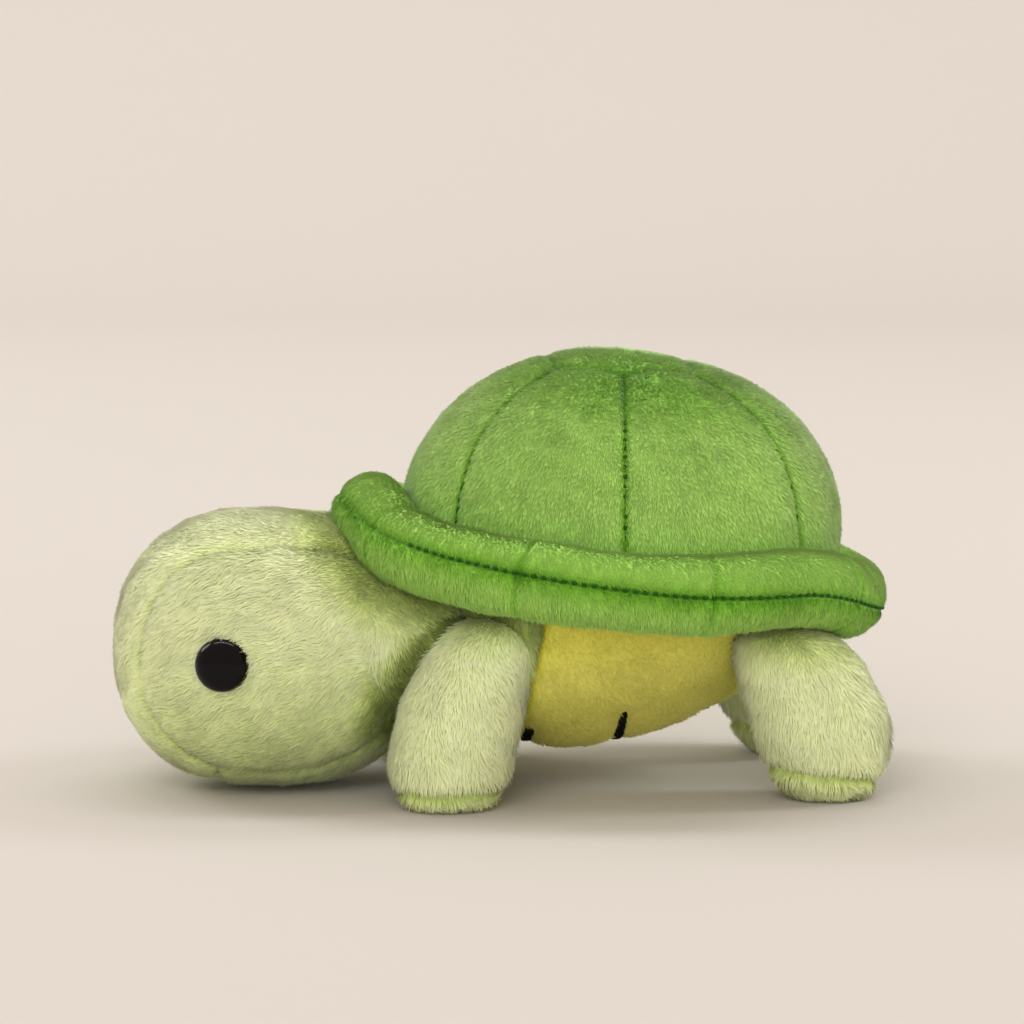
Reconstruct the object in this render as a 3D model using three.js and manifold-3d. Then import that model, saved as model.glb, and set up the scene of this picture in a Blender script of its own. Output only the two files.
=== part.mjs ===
import * as THREE from "three";
import { mergeVertices } from "three/addons/utils/BufferGeometryUtils.js";
import Module from "manifold-3d";

const wasm = await Module();
wasm.setup();

// A stuffed plush turtle in millimetres. +Z is up, the head looks along -Y and the toy's own left is +X.
// The origin is on the table, in the middle of the toy's outline seen from above.
// Squareness is the power of a rounded outline: 2 is an ellipse and higher values fill its corners.

const degree = Math.PI / 180;
const fullTurn = 2 * Math.PI;

// Cloth, seams and fits
const cloth = 1.2; // plush with its backing, without the pile
const seamGap = 0.4; // between two panels at a seam
const stuffingGap = 0.3; // between a panel and the stuffing behind it
const sewnGap = 0.3; // between sewn pieces that don't move
const runningGap = 0.6; // between pieces that move against each other
const overrun = 5; // how far a cutter passes what it cuts

const head = {
  length: 80,
  width: 74,
  height: 75,
  frontY: -103.5,
  restDepth: 0.5, // pressed flat on the table
  foreSquareness: 2.25,
  aftSquareness: 3,
  acrossSquareness: 2.1,
  gussetWidth: 40,
  chinSeamY: -74.5, // the cross seam where the crown gusset meets the chin gusset, under the chin
  steps: 24,
  rings: 12,
};

const neck = {
  radius: 22,
  pivotY: -22,
  pivotZ: 41,
  panelWidth: 30,
  steps: 18,
  rings: 8,
  turn: 10, // degrees to either side
  nodUp: 6,
};

const body = {
  width: 92,
  foreLength: 40, // from its lowest place to the chest
  aftLength: 75, // from its lowest place to the tail end
  depth: 49.2,
  lowestY: 15,
  middleZ: 58,
  foreSquareness: 2.2,
  aftSquareness: 1.85,
  acrossSquareness: 1.8,
  chestSeamY: 1.6, // at the belly's lowest height
  chestSeamLean: 7.5, // degrees towards the tail as the seam rises
  steps: 24,
  rings: 12,
};

const plastron = {
  lineWidth: 2,
  lineDepth: 0.6,
  middleFrontY: 5,
  middleRearY: 66,
  crossLines: [{ y: 6, length: 38 }, { y: 30, length: 50 }, { y: 54, length: 14 }],
};

const shell = {
  length: 117.2,
  width: 104,
  height: 47.4,
  baseY: 32.4,
  baseZ: 67.5,
  tilt: 7.8,
  squareness: 2.2,
  seamAngles: [31, 84, 141], // seams between the left side's gores, in degrees from the front
  crownBack: 2, // how far the top leans towards the tail
  seamDip: 1.3, // how far the cloth sinks at a seam between gores
  seamSpread: 18, // degrees to either side of a seam, over which that dip fades out
  sideShare: 0.5, // of the radius, inside which that dip fades out
  topPanelRadius: 21,
  steps: 36,
  rings: 8,
};

const rim = {
  length: 130, // along the middle of the roll
  width: 112,
  centreY: 29.9,
  centreZ: 61.35,
  tilt: 10.5,
  rollWidth: 19,
  rollHeight: 20,
  // How far round the roll's section the seam between the strips stands above the roll's middle, in degrees,
  // at places counted in degrees from the front
  seamRises: [[0, 22], [60, 15], [100, 3], [140, -5], [180, -12]],
  seamAngles: [25, 65, 105, 145, 180], // cross seams of the left side, in degrees from the front
  legLift: 4, // how far the rear leg pushes the roll up
  legLiftAngle: 133,
  legLiftSpread: 22,
  sag: 5.5, // how far the roll hangs lower over the front leg
  sagAngle: 48,
  sagSpread: 50,
  sagStart: 30, // degrees from the front, over which the sag sets in
  steps: 36,
  sectionSteps: 4, // over half a turn of the roll's section
};

const frontLeg = {
  name: "front",
  width: 31,
  length: 35.8,
  height: 51,
  soleX: 36,
  soleY: -16.6,
  leanX: -6,
  leanY: 14,
  outlineShares: [
    [0.68, 0], [0.88, 0.07], [0.99, 0.22], [0.99, 0.45], [0.97, 0.7], [0.88, 0.87], [0.58, 0.97],
  ],
  hingeY: -8,
  hingeZ: 33,
  forward: 6, // degrees of swing
  backward: 12,
};

const rearLeg = {
  name: "rear",
  width: 31,
  length: 39.4,
  height: 47,
  soleX: 34.5,
  soleY: 82.6,
  leanX: -4,
  leanY: -13,
  outlineShares: [
    [0.54, 0], [0.78, 0.12], [0.97, 0.33], [1, 0.55], [0.92, 0.8], [0.72, 0.93], [0.4, 0.985],
  ],
  hingeY: 70,
  hingeZ: 36,
  forward: 12,
  backward: 6,
};

const legSteps = 12; // facets round a leg
const legBend = 2; // the power of the curve that a leg leans along

const eye = {
  diameter: 14,
  domeHeight: 5.6,
  baseEdge: 0.8, // the straight edge under the dome
  y: -75.2,
  z: 38,
  shankDiameter: 4,
  shankLength: 13,
  washerDiameter: 16,
  washerThickness: 1.4,
  hubDiameter: 7.5,
  hubHeight: 2.2,
  domeArcs: 5,
  steps: 18,
};

// Shapes that only make room for a moving piece, and fillings, have fewer facets and a little more gap.
const room = { steps: 18, rings: 10, ringSteps: 24, gap: 0.5 };

// Finishes
const finish = (color, roughness) => new THREE.MeshStandardMaterial({ color, roughness, metalness: 0 });
const shellGreen = () => finish(0x6fa63c, 0.9);
const rimGreen = () => finish(0x6ca33a, 0.9);
const skinGreen = () => finish(0xc6d38f, 0.92);
const bellyYellow = () => finish(0xc9c45c, 0.92);
const lineBlack = () => finish(0x15150f, 0.8);
const stuffingWhite = () => finish(0xf2f0ea, 0.95);
const liningGreen = () => finish(0x84a862, 0.9);
const eyeBlack = () => finish(0x0b0b0c, 0.12);
const washerWhite = () => finish(0xe8e8e2, 0.5);

// A closed geometry as a solid that can be cut and joined.
function solidOf(geometry) {
  const bare = geometry.clone();
  bare.deleteAttribute("normal");
  bare.deleteAttribute("uv");
  const merged = mergeVertices(bare, 1e-4);
  return new wasm.Manifold(
    new wasm.Mesh({
      numProp: 3,
      vertProperties: new Float32Array(merged.attributes.position.array),
      triVerts: new Uint32Array(merged.index.array),
    }),
  );
}

function geometryOf(solid) {
  const mesh = solid.getMesh();
  const geometry = new THREE.BufferGeometry();
  geometry.setAttribute("position", new THREE.BufferAttribute(new Float32Array(mesh.vertProperties), 3));
  geometry.setIndex(new THREE.BufferAttribute(new Uint32Array(mesh.triVerts), 1));
  return geometry;
}

// The largest body of a cut solid, without the slivers beside it.
function mainBody(solid) {
  const bodies = solid.decompose();
  return bodies.reduce((best, one) => (one.volume() > best.volume() ? one : best));
}

function movePoints(geometry, move) {
  const at = geometry.attributes.position;
  const point = new THREE.Vector3();
  for (let i = 0; i < at.count; i++) {
    point.fromBufferAttribute(at, i);
    move(point);
    at.setXYZ(i, point.x, point.y, point.z);
  }
  return geometry;
}

const power = (value, exponent) => Math.abs(value) ** exponent;

// The box between two planes square to an axis, wide enough to pass the whole toy.
const reach = 2 * (head.length + body.aftLength + overrun);
function slab(axis, low, high) {
  const sizes = { x: reach, y: reach, z: reach };
  sizes[axis] = high - low;
  const box = new THREE.BoxGeometry(sizes.x, sizes.y, sizes.z);
  const middle = new THREE.Vector3();
  middle[axis] = (low + high) / 2;
  return box.translate(middle.x, middle.y, middle.z);
}

const above = (axis, low) => slab(axis, low, reach);
const below = (axis, high) => slab(axis, -reach, high);

// Everything between two angles about +Z, counted from -Y towards +X, less half a seam gap on both sides.
function sector(fromAngle, toAngle) {
  const outline = new THREE.Shape();
  const away = (angle) => new THREE.Vector2(Math.sin(angle), -Math.cos(angle)).multiplyScalar(reach);
  const middle = (fromAngle + toAngle) / 2;
  const inset = seamGap / 2 / Math.sin((toAngle - fromAngle) / 2);
  const apex = new THREE.Vector2(Math.sin(middle), -Math.cos(middle)).multiplyScalar(inset);
  outline.moveTo(apex.x, apex.y);
  for (const angle of [fromAngle, middle, toAngle]) {
    const far = away(angle).add(apex);
    outline.lineTo(far.x, far.y);
  }
  outline.closePath();
  const prism = new THREE.ExtrudeGeometry(outline, { depth: 2 * reach, bevelEnabled: false });
  return prism.translate(0, 0, -reach);
}

// Where a bag's side outline changes from its fore to its aft squareness, as shares of its half length.
const outlineShare = { from: -0.5, to: 0.5 };

// A stuffed bag: a ball with its poles at the sides, swollen to half sizes that differ fore and aft.
function stuffedBag(form, centre, inset = 0) {
  const ball = new THREE.SphereGeometry(1, form.steps, form.rings).rotateZ(Math.PI / 2);
  const depth = form.halfHeight - inset;
  return movePoints(ball, (p) => {
    const aft = THREE.MathUtils.smoothstep(p.y, outlineShare.from, outlineShare.to);
    const side = THREE.MathUtils.lerp(form.foreSquareness, form.aftSquareness, aft);
    const across = form.acrossSquareness;
    const seenFromSide = (power(p.y, side) + power(p.z, side)) ** (1 / side);
    p.multiplyScalar((power(seenFromSide, across) + power(p.x, across)) ** (-1 / across));
    const length = (p.y < 0 ? form.halfFore : form.halfAft) - inset;
    p.set(p.x * (form.halfWidth - inset), p.y * length, p.z * depth);
    p.add(centre);
  });
}

const headCentre = new THREE.Vector3(0, head.frontY + head.length / 2, (head.height - head.restDepth) / 2);
const headForm = {
  ...head,
  halfWidth: head.width / 2,
  halfFore: head.length / 2,
  halfAft: head.length / 2,
  halfHeight: (head.height + head.restDepth) / 2,
};
const headBag = (inset) => solidOf(stuffedBag(headForm, headCentre, inset));
const fillingInset = cloth + stuffingGap + room.gap;
const headFilling = solidOf(stuffedBag({ ...headForm, ...room }, headCentre, fillingInset));

const bodyCentre = new THREE.Vector3(0, body.lowestY, body.middleZ);
const bodyForm = {
  ...body,
  halfWidth: body.width / 2,
  halfFore: body.foreLength,
  halfAft: body.aftLength,
  halfHeight: body.depth,
};
const bodyBag = (inset) => solidOf(stuffedBag(bodyForm, bodyCentre, inset));
const bodyFilling = solidOf(stuffedBag({ ...bodyForm, ...room }, bodyCentre, fillingInset));

// The shell's own frame lies in its base, which is tilted back.
const shellFrame = new THREE.Matrix4()
  .makeTranslation(0, shell.baseY, shell.baseZ)
  .multiply(new THREE.Matrix4().makeRotationX(-shell.tilt * degree));

// The dome sinks a little along the seams between its gores. A straight skirt carries it on below its base.
function dome(inset) {
  const points = [new THREE.Vector2(0, -1), new THREE.Vector2(1, -1)];
  for (let i = 0; i <= shell.rings; i++) {
    const angle = (i / shell.rings) * (Math.PI / 2);
    const out = Math.cos(angle);
    const up = Math.sin(angle);
    const swell = (power(out, shell.squareness) + power(up, shell.squareness)) ** (-1 / shell.squareness);
    points.push(new THREE.Vector2(i < shell.rings ? out * swell : 0, up * swell));
  }
  const turned = new THREE.LatheGeometry(points, shell.steps).rotateX(Math.PI / 2);
  return movePoints(turned, (p) => {
    const around = Math.atan2(Math.abs(p.x), -p.y) / degree;
    const off = Math.min(...shell.seamAngles.map((angle) => Math.abs(around - angle)));
    const seam = Math.exp(-((off / shell.seamSpread) ** 2));
    const onSide = Math.min(1, Math.hypot(p.x, p.y) / shell.sideShare);
    const dip = 1 - (shell.seamDip * seam * onSide) / shell.height;
    const lean = p.z < 0 ? 0 : shell.crownBack * p.z;
    p.x *= (shell.width / 2 - inset) * dip;
    p.y = p.y * (shell.length / 2 - inset) * dip + lean;
    p.z *= p.z < 0 ? overrun : (shell.height - inset) * dip;
  });
}

const domeSolid = (inset) => solidOf(dome(inset).applyMatrix4(shellFrame));

// The seams between the gores lie in upright planes that meet over the middle of the shell's base.
const seamFrame = new THREE.Matrix4().makeTranslation(0, shell.baseY, shell.baseZ);
const shellSeams = [...shell.seamAngles, ...shell.seamAngles.map((angle) => fullTurn / degree - angle).reverse()];

// A six-sided prism over the middle of the shell, with its corners on the seams between the gores.
function hexagon(radius) {
  const corners = shellSeams.map((angle) => {
    return new THREE.Vector2(Math.sin(angle * degree), -Math.cos(angle * degree)).multiplyScalar(radius);
  });
  const prism = new THREE.ExtrudeGeometry(new THREE.Shape(corners), { depth: reach, bevelEnabled: false });
  return prism.applyMatrix4(seamFrame);
}

// The rim's own frame lies in the middle of its roll.
const rimFrame = new THREE.Matrix4()
  .makeTranslation(0, rim.centreY, rim.centreZ)
  .multiply(new THREE.Matrix4().makeRotationX(-rim.tilt * degree));

// How far round the roll's section its seam stands above the roll's middle, at an angle from the front.
function seamRise(angle) {
  const next = Math.max(1, rim.seamRises.findIndex(([place]) => place >= angle));
  const [fromPlace, fromRise] = rim.seamRises[next - 1];
  const [toPlace, toRise] = rim.seamRises[next];
  return THREE.MathUtils.mapLinear(angle, fromPlace, toPlace, fromRise, toRise) * degree;
}

// A closed section, given round the middle of the roll with its seam at 0, carried once round the shell and
// up over the legs, and turned so that the seam runs where the toy has it.
function ring(section, steps = rim.steps) {
  const unitRadius = (rim.length + rim.width) / 4;
  const points = section.map((p) => new THREE.Vector2(unitRadius + p.x, p.y));
  const turned = new THREE.LatheGeometry(points, steps).rotateX(Math.PI / 2);
  return movePoints(turned, (p) => {
    const distance = Math.hypot(p.x, p.y);
    const across = p.x / distance;
    const along = p.y / distance;
    const normal = new THREE.Vector2(across / rim.width, along / rim.length).normalize();
    const angle = Math.min(fullTurn / 2, Math.atan2(Math.abs(p.x), -p.y)) / degree;
    const rise = seamRise(angle);
    const squash = rim.rollWidth / rim.rollHeight;
    const straightOut = distance - unitRadius;
    const out = straightOut * Math.cos(rise) - p.z * Math.sin(rise) * squash;
    const up = p.z * Math.cos(rise) + (straightOut * Math.sin(rise)) / squash;
    const lift = rim.legLift * Math.exp(-(((angle - rim.legLiftAngle) / rim.legLiftSpread) ** 2));
    const sag = rim.sag * Math.exp(-(((angle - rim.sagAngle) / rim.sagSpread) ** 2));
    p.x = across * (rim.width / 2) + normal.x * out;
    p.y = along * (rim.length / 2) + normal.y * out;
    p.z = up + lift - sag * THREE.MathUtils.smoothstep(angle, 0, rim.sagStart);
  });
}

// Points along the outline of the roll's section, from one angle to another.
function arc(fromAngle, toAngle, steps, inset) {
  const points = [];
  for (let i = 0; i <= steps; i++) {
    const angle = fromAngle + ((toAngle - fromAngle) * i) / steps;
    const out = Math.cos(angle) * (rim.rollWidth / 2 - inset);
    const up = Math.sin(angle) * (rim.rollHeight / 2 - inset);
    points.push(new THREE.Vector2(out, up));
  }
  return points;
}

// The whole roll as one round ring.
function roll(inset, steps) {
  const section = arc(0, fullTurn, 2 * rim.sectionSteps, inset);
  return ring(section, steps).applyMatrix4(rimFrame);
}

// The roll's cloth on one side of its seam: the upper strip for side 1 and the lower one for side -1.
function rollStrip(side) {
  const from = Math.asin(seamGap / rim.rollHeight);
  const to = Math.PI - from;
  const outer = arc(from, to, rim.sectionSteps, 0);
  const inner = arc(to, from, rim.sectionSteps, cloth);
  const section = [...outer, ...inner, outer[0].clone()];
  if (side < 0) {
    section.reverse();
    section.forEach((p) => (p.y = -p.y));
  }
  return solidOf(ring(section).applyMatrix4(rimFrame));
}

// A leg of the left side: a stub with a flat sole that swells, tapers and leans in towards the body.
function limb(leg, inset) {
  const outline = [[0, 0], ...leg.outlineShares, [0, 1]];
  const points = outline.map(([radius, height]) => new THREE.Vector2(radius, height));
  const turned = new THREE.LatheGeometry(points, legSteps).rotateX(Math.PI / 2);
  return movePoints(turned, (p) => {
    const share = p.z;
    p.x = leg.soleX + leg.leanX * share + p.x * (leg.width / 2 - inset);
    p.y = leg.soleY + leg.leanY * share ** legBend + p.y * (leg.length / 2 - inset);
    p.z = inset + share * (leg.height - 2 * inset);
  });
}

const limbSolid = (leg, inset) => solidOf(limb(leg, inset));

// A geometry turned about a hinge along X at a place and height, by an angle in degrees.
function swung(geometry, y, z, angle) {
  return geometry
    .clone()
    .translate(0, -y, -z)
    .rotateX(angle * degree)
    .translate(0, y, z);
}

function ballAt(radius, y, z) {
  return new THREE.SphereGeometry(radius, neck.steps, neck.rings).rotateX(Math.PI / 2).translate(0, y, z);
}

const neckBall = (inset) => solidOf(ballAt(neck.radius - inset, neck.pivotY, neck.pivotZ));

// Nested groups stand at their hinges, so turning a group moves its limb.
const turtle = new THREE.Group();
turtle.name = "turtle";
const trunk = new THREE.Group();
const shellGroup = new THREE.Group();
shellGroup.applyMatrix4(shellFrame);
const rimGroup = new THREE.Group();
rimGroup.applyMatrix4(rimFrame);
const neckGroup = new THREE.Group();
neckGroup.position.set(0, neck.pivotY, neck.pivotZ);
const headGroup = new THREE.Group();
turtle.add(trunk);
trunk.add(shellGroup, rimGroup, neckGroup);
neckGroup.add(headGroup);

// Adds a solid that was made in the toy's frame to a group, as a mesh in that group's own frame.
function addMesh(group, name, solid, material) {
  turtle.updateMatrixWorld(true);
  const local = geometryOf(mainBody(solid)).applyMatrix4(group.matrixWorld.clone().invert());
  local.computeVertexNormals();
  const mesh = new THREE.Mesh(local, material);
  mesh.name = name;
  group.add(mesh);
}

const onTable = solidOf(above("z", 0));

const domeOuter = domeSolid(0);
const domeGrown = domeSolid(-sewnGap);
const underShell = solidOf(below("z", -seamGap - cloth - sewnGap).applyMatrix4(shellFrame));
const bodyOuter = bodyBag(0).intersect(underShell);
const underLining = solidOf(below("z", -seamGap - cloth).applyMatrix4(shellFrame));
const bodyGrown = bodyBag(-sewnGap).intersect(underLining);

// Six gores and a top panel, sewn over the stuffing and closed from below by the lining.
function makeShell() {
  const overLining = solidOf(above("z", 0).applyMatrix4(shellFrame));
  const skin = domeOuter.subtract(domeSolid(cloth)).intersect(overLining);
  const topHole = solidOf(hexagon(shell.topPanelRadius + seamGap / 2));
  for (let i = 0; i < shellSeams.length; i++) {
    const from = shellSeams[i] * degree;
    const to = i + 1 < shellSeams.length ? shellSeams[i + 1] * degree : shellSeams[0] * degree + fullTurn;
    const wedge = solidOf(sector(from, to).applyMatrix4(seamFrame));
    const gore = skin.intersect(wedge).subtract(topHole);
    addMesh(shellGroup, "shell_gore_" + (i + 1), gore, shellGreen());
  }
  const top = skin.intersect(solidOf(hexagon(shell.topPanelRadius - seamGap / 2)));
  addMesh(shellGroup, "shell_top_panel", top, shellGreen());
  const overBase = solidOf(above("z", stuffingGap).applyMatrix4(shellFrame));
  const stuffing = domeSolid(cloth + stuffingGap).intersect(overBase);
  addMesh(shellGroup, "shell_stuffing", stuffing, stuffingWhite());
  const lining = new THREE.CylinderGeometry(1, 1, 1, shell.steps).rotateX(Math.PI / 2);
  const liningInset = cloth + shell.seamDip;
  lining.scale(shell.width / 2 - liningInset, shell.length / 2 - liningInset, cloth);
  lining.translate(0, 0, -seamGap - cloth / 2);
  addMesh(shellGroup, "shell_lining", solidOf(lining.applyMatrix4(shellFrame)), liningGreen());
}

// The roll's upper and lower strips, each cut at the cross seams, and the ring of stuffing inside them.
function makeRim(keepOut) {
  const sides = [["upper", 1], ["lower", -1]];
  const seams = rim.seamAngles;
  const places = [["front", -seams[0], seams[0]]];
  for (let i = 0; i + 1 < seams.length; i++) {
    places.push(["left_" + (i + 1), seams[i], seams[i + 1]]);
    places.push(["right_" + (i + 1), -seams[i + 1], -seams[i]]);
  }
  for (const [sideName, side] of sides) {
    const strip = rollStrip(side).subtract(keepOut);
    for (const [placeName, from, to] of places) {
      const wedge = solidOf(sector(from * degree, to * degree).applyMatrix4(rimFrame));
      addMesh(rimGroup, "rim_" + sideName + "_" + placeName, strip.intersect(wedge), rimGreen());
    }
  }
  const filling = solidOf(roll(fillingInset, room.ringSteps)).subtract(keepOut);
  addMesh(rimGroup, "rim_stuffing", filling, stuffingWhite());
}

// The pattern of sewn lines seen from below: one along the middle, crossed by shorter ones.
function lineCutter(width) {
  const extra = width - plastron.lineWidth;
  const height = body.middleZ;
  const middle = new THREE.BoxGeometry(width, plastron.middleRearY - plastron.middleFrontY + extra, height);
  middle.translate(0, (plastron.middleRearY + plastron.middleFrontY) / 2, height / 2);
  let pattern = solidOf(middle);
  for (const line of plastron.crossLines) {
    const cross = new THREE.BoxGeometry(line.length + extra, width, height);
    pattern = pattern.add(solidOf(cross.translate(0, line.y, height / 2)));
  }
  return pattern;
}

// The belly and chest panels, hollowed at the front for the neck, and the lines sewn into the belly.
function makeBody() {
  const socket = solidOf(ballAt(neck.radius + runningGap, neck.pivotY, neck.pivotZ));
  const skin = bodyOuter.subtract(bodyBag(cloth)).subtract(socket);
  const groove = bodyBag(-overrun)
    .subtract(bodyBag(plastron.lineDepth + sewnGap))
    .intersect(lineCutter(plastron.lineWidth + 2 * sewnGap));
  const leaning = (half) =>
    solidOf(swung(half, body.chestSeamY, body.middleZ - body.depth, -body.chestSeamLean));
  const belly = skin.intersect(leaning(above("y", body.chestSeamY + seamGap / 2))).subtract(groove);
  const chest = skin.intersect(leaning(below("y", body.chestSeamY - seamGap / 2)));
  const lines = bodyOuter.subtract(bodyBag(plastron.lineDepth)).intersect(lineCutter(plastron.lineWidth));
  addMesh(trunk, "belly_panel", belly, bellyYellow());
  addMesh(trunk, "chest_panel", chest, skinGreen());
  addMesh(trunk, "belly_lines", lines, lineBlack());
  const stuffing = bodyFilling.intersect(underShell).subtract(socket);
  addMesh(trunk, "body_stuffing", stuffing, stuffingWhite());
}

// A ball joint of cloth and stuffing, about the point where the head turns and nods.
function makeNeck() {
  const band = solidOf(slab("y", neck.pivotY - neck.panelWidth / 2, neck.pivotY + neck.panelWidth / 2));
  addMesh(neckGroup, "neck_panel", neckBall(0).subtract(neckBall(cloth)).intersect(band), skinGreen());
  addMesh(neckGroup, "neck_stuffing", neckBall(cloth + stuffingGap), stuffingWhite());
}

// The head's side at a place, as a distance from the middle plane.
function headSide(y, z) {
  const along = (y - headCentre.y) / headForm.halfFore;
  const up = (z - headCentre.z) / headForm.halfHeight;
  const aft = THREE.MathUtils.smoothstep(along, outlineShare.from, outlineShare.to);
  const side = THREE.MathUtils.lerp(head.foreSquareness, head.aftSquareness, aft);
  const seenFromSide = (power(along, side) + power(up, side)) ** (1 / side);
  const across = head.acrossSquareness;
  return headForm.halfWidth * (1 - power(seenFromSide, across)) ** (1 / across);
}

// The eye's frame: +Z out of the cheek, the origin on the cheek's surface.
function eyeFrame() {
  const span = eye.diameter / 2;
  const slopeY = (headSide(eye.y + span, eye.z) - headSide(eye.y - span, eye.z)) / eye.diameter;
  const slopeZ = (headSide(eye.y, eye.z + span) - headSide(eye.y, eye.z - span)) / eye.diameter;
  const normal = new THREE.Vector3(1, -slopeY, -slopeZ).normalize();
  const turn = new THREE.Quaternion().setFromUnitVectors(new THREE.Vector3(0, 0, 1), normal);
  const place = new THREE.Vector3(headSide(eye.y, eye.z), eye.y, eye.z);
  return new THREE.Matrix4().compose(place, turn, new THREE.Vector3(1, 1, 1));
}

// How far the cheek falls away from its tangent plane at a radius round the eye.
function cheekDrop(radius) {
  const frame = eyeFrame();
  const back = frame.clone().invert();
  const drops = [];
  for (const [dy, dz] of [[radius, 0], [-radius, 0], [0, radius], [0, -radius]]) {
    const y = eye.y + dy;
    const z = eye.z + dz;
    drops.push(-new THREE.Vector3(headSide(y, z), y, z).applyMatrix4(back).z);
  }
  return Math.max(...drops);
}

const eyeDrop = cheekDrop(eye.diameter / 2);
const washerFront = -(cloth + sewnGap + cheekDrop(eye.washerDiameter / 2));

function cylinder(radius, low, high) {
  return new THREE.CylinderGeometry(radius, radius, high - low, eye.steps)
    .rotateX(Math.PI / 2)
    .translate(0, 0, (low + high) / 2)
    .applyMatrix4(eyeFrame());
}

const eyeSeat = cylinder(eye.diameter / 2 + sewnGap, -eyeDrop, eye.domeHeight);
const shankEnd = -eye.shankLength - eyeDrop - sewnGap;
const shankHole = cylinder(eye.shankDiameter / 2 + sewnGap, shankEnd, eye.domeHeight);
const washerPocket = cylinder(
  eye.washerDiameter / 2 + sewnGap,
  washerFront - eye.washerThickness - eye.hubHeight - sewnGap,
  eye.domeHeight,
);

// A glossy dome and the shank that goes through the cheek, turned in one piece.
function eyeGeometry() {
  const radius = eye.diameter / 2;
  const shank = eye.shankDiameter / 2;
  const base = sewnGap - eyeDrop;
  const end = base - eye.shankLength;
  const points = [new THREE.Vector2(0, end), new THREE.Vector2(shank, end)];
  points.push(new THREE.Vector2(shank, base), new THREE.Vector2(radius, base));
  for (let i = 0; i <= eye.domeArcs; i++) {
    const angle = (i / eye.domeArcs) * (Math.PI / 2);
    const out = i < eye.domeArcs ? Math.cos(angle) * radius : 0;
    const up = eye.baseEdge + Math.sin(angle) * (eye.domeHeight - eye.baseEdge);
    points.push(new THREE.Vector2(out, base + up));
  }
  return new THREE.LatheGeometry(points, eye.steps).rotateX(Math.PI / 2).applyMatrix4(eyeFrame());
}

// The washer that locks the shank from inside: a flange with a hub behind it.
function washerGeometry() {
  const bore = eye.shankDiameter / 2 + sewnGap;
  const hub = eye.hubDiameter / 2;
  const back = washerFront - eye.washerThickness;
  const outline = [
    [bore, back - eye.hubHeight],
    [hub, back - eye.hubHeight],
    [hub, back],
    [eye.washerDiameter / 2, back],
    [eye.washerDiameter / 2, washerFront],
    [bore, washerFront],
    [bore, back - eye.hubHeight],
  ];
  const points = outline.map(([radius, height]) => new THREE.Vector2(radius, height));
  return new THREE.LatheGeometry(points, eye.steps).rotateX(Math.PI / 2).applyMatrix4(eyeFrame());
}

const mirrored = (geometry) => {
  const copy = geometry.clone().scale(-1, 1, 1);
  const index = copy.index.array;
  for (let i = 0; i < index.length; i += 3) {
    [index[i + 1], index[i + 2]] = [index[i + 2], index[i + 1]];
  }
  return copy;
};

const rollRoom = () => roll(-runningGap - room.gap, room.ringSteps);
const neckRoom = () => ballAt(neck.radius + runningGap, neck.pivotY, neck.pivotZ);

// What the head must clear as it turns and nods: the rim's roll, also as the head meets it when raised.
function headKeepOut() {
  const rest = rollRoom();
  let keepOut = solidOf(neckRoom());
  for (const nod of [0, neck.nodUp / 2, neck.nodUp]) {
    for (const turn of [-neck.turn, 0, neck.turn]) {
      const moved = rest.clone().translate(0, -neck.pivotY, -neck.pivotZ).rotateZ(turn * degree);
      moved.rotateX(nod * degree).translate(0, neck.pivotY, neck.pivotZ);
      keepOut = keepOut.add(solidOf(moved));
    }
  }
  return keepOut;
}

// Two cheeks with their eyes, joined by one gusset from the nape over the crown and face down to the
// chin, and by another from there back to the neck.
function makeHead() {
  const keepOut = headKeepOut();
  const skin = headBag(0).subtract(headBag(cloth)).intersect(onTable).subtract(keepOut);
  const seam = head.gussetWidth / 2;
  const leftGroup = new THREE.Group();
  const rightGroup = new THREE.Group();
  rightGroup.scale.x = -1;
  headGroup.add(leftGroup, rightGroup);
  const cheek = skin
    .intersect(solidOf(above("x", seam + seamGap / 2)))
    .subtract(solidOf(eyeSeat))
    .subtract(solidOf(shankHole));
  for (const [sideName, group] of [["left", leftGroup], ["right", rightGroup]]) {
    turtle.updateMatrixWorld(true);
    const frame = neckGroup.matrixWorld.clone().invert();
    const pieces = [
      ["cheek_", geometryOf(mainBody(cheek)), skinGreen()],
      ["eye_", eyeGeometry(), eyeBlack()],
      ["eye_washer_", washerGeometry(), washerWhite()],
    ];
    for (const [prefix, geometry, material] of pieces) {
      const mesh = new THREE.Mesh(geometry.applyMatrix4(frame), material);
      mesh.geometry.computeVertexNormals();
      mesh.name = prefix + sideName;
      group.add(mesh);
    }
  }
  const gusset = skin.intersect(solidOf(slab("x", seamGap / 2 - seam, seam - seamGap / 2)));
  const underside = solidOf(below("z", headCentre.z));
  const crown = gusset.subtract(underside.intersect(solidOf(above("y", head.chinSeamY - seamGap / 2))));
  const chin = gusset.intersect(underside).intersect(solidOf(above("y", head.chinSeamY + seamGap / 2)));
  addMesh(headGroup, "crown_gusset", crown, skinGreen());
  addMesh(headGroup, "chin_gusset", chin, skinGreen());
  let stuffing = headFilling.intersect(solidOf(above("z", cloth + stuffingGap))).subtract(keepOut);
  for (const pocket of [shankHole, washerPocket]) {
    stuffing = stuffing.subtract(solidOf(pocket)).subtract(solidOf(mirrored(pocket)));
  }
  addMesh(headGroup, "head_stuffing", stuffing, stuffingWhite());
}

// The head's bag as it stands turned to either side.
function turnedHeads() {
  const bag = stuffedBag({ ...headForm, ...room }, headCentre, -runningGap - room.gap);
  return [-neck.turn, neck.turn].map((turn) =>
    bag.clone().translate(0, -neck.pivotY, 0).rotateZ(turn * degree).translate(0, neck.pivotY, 0),
  );
}

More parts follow.
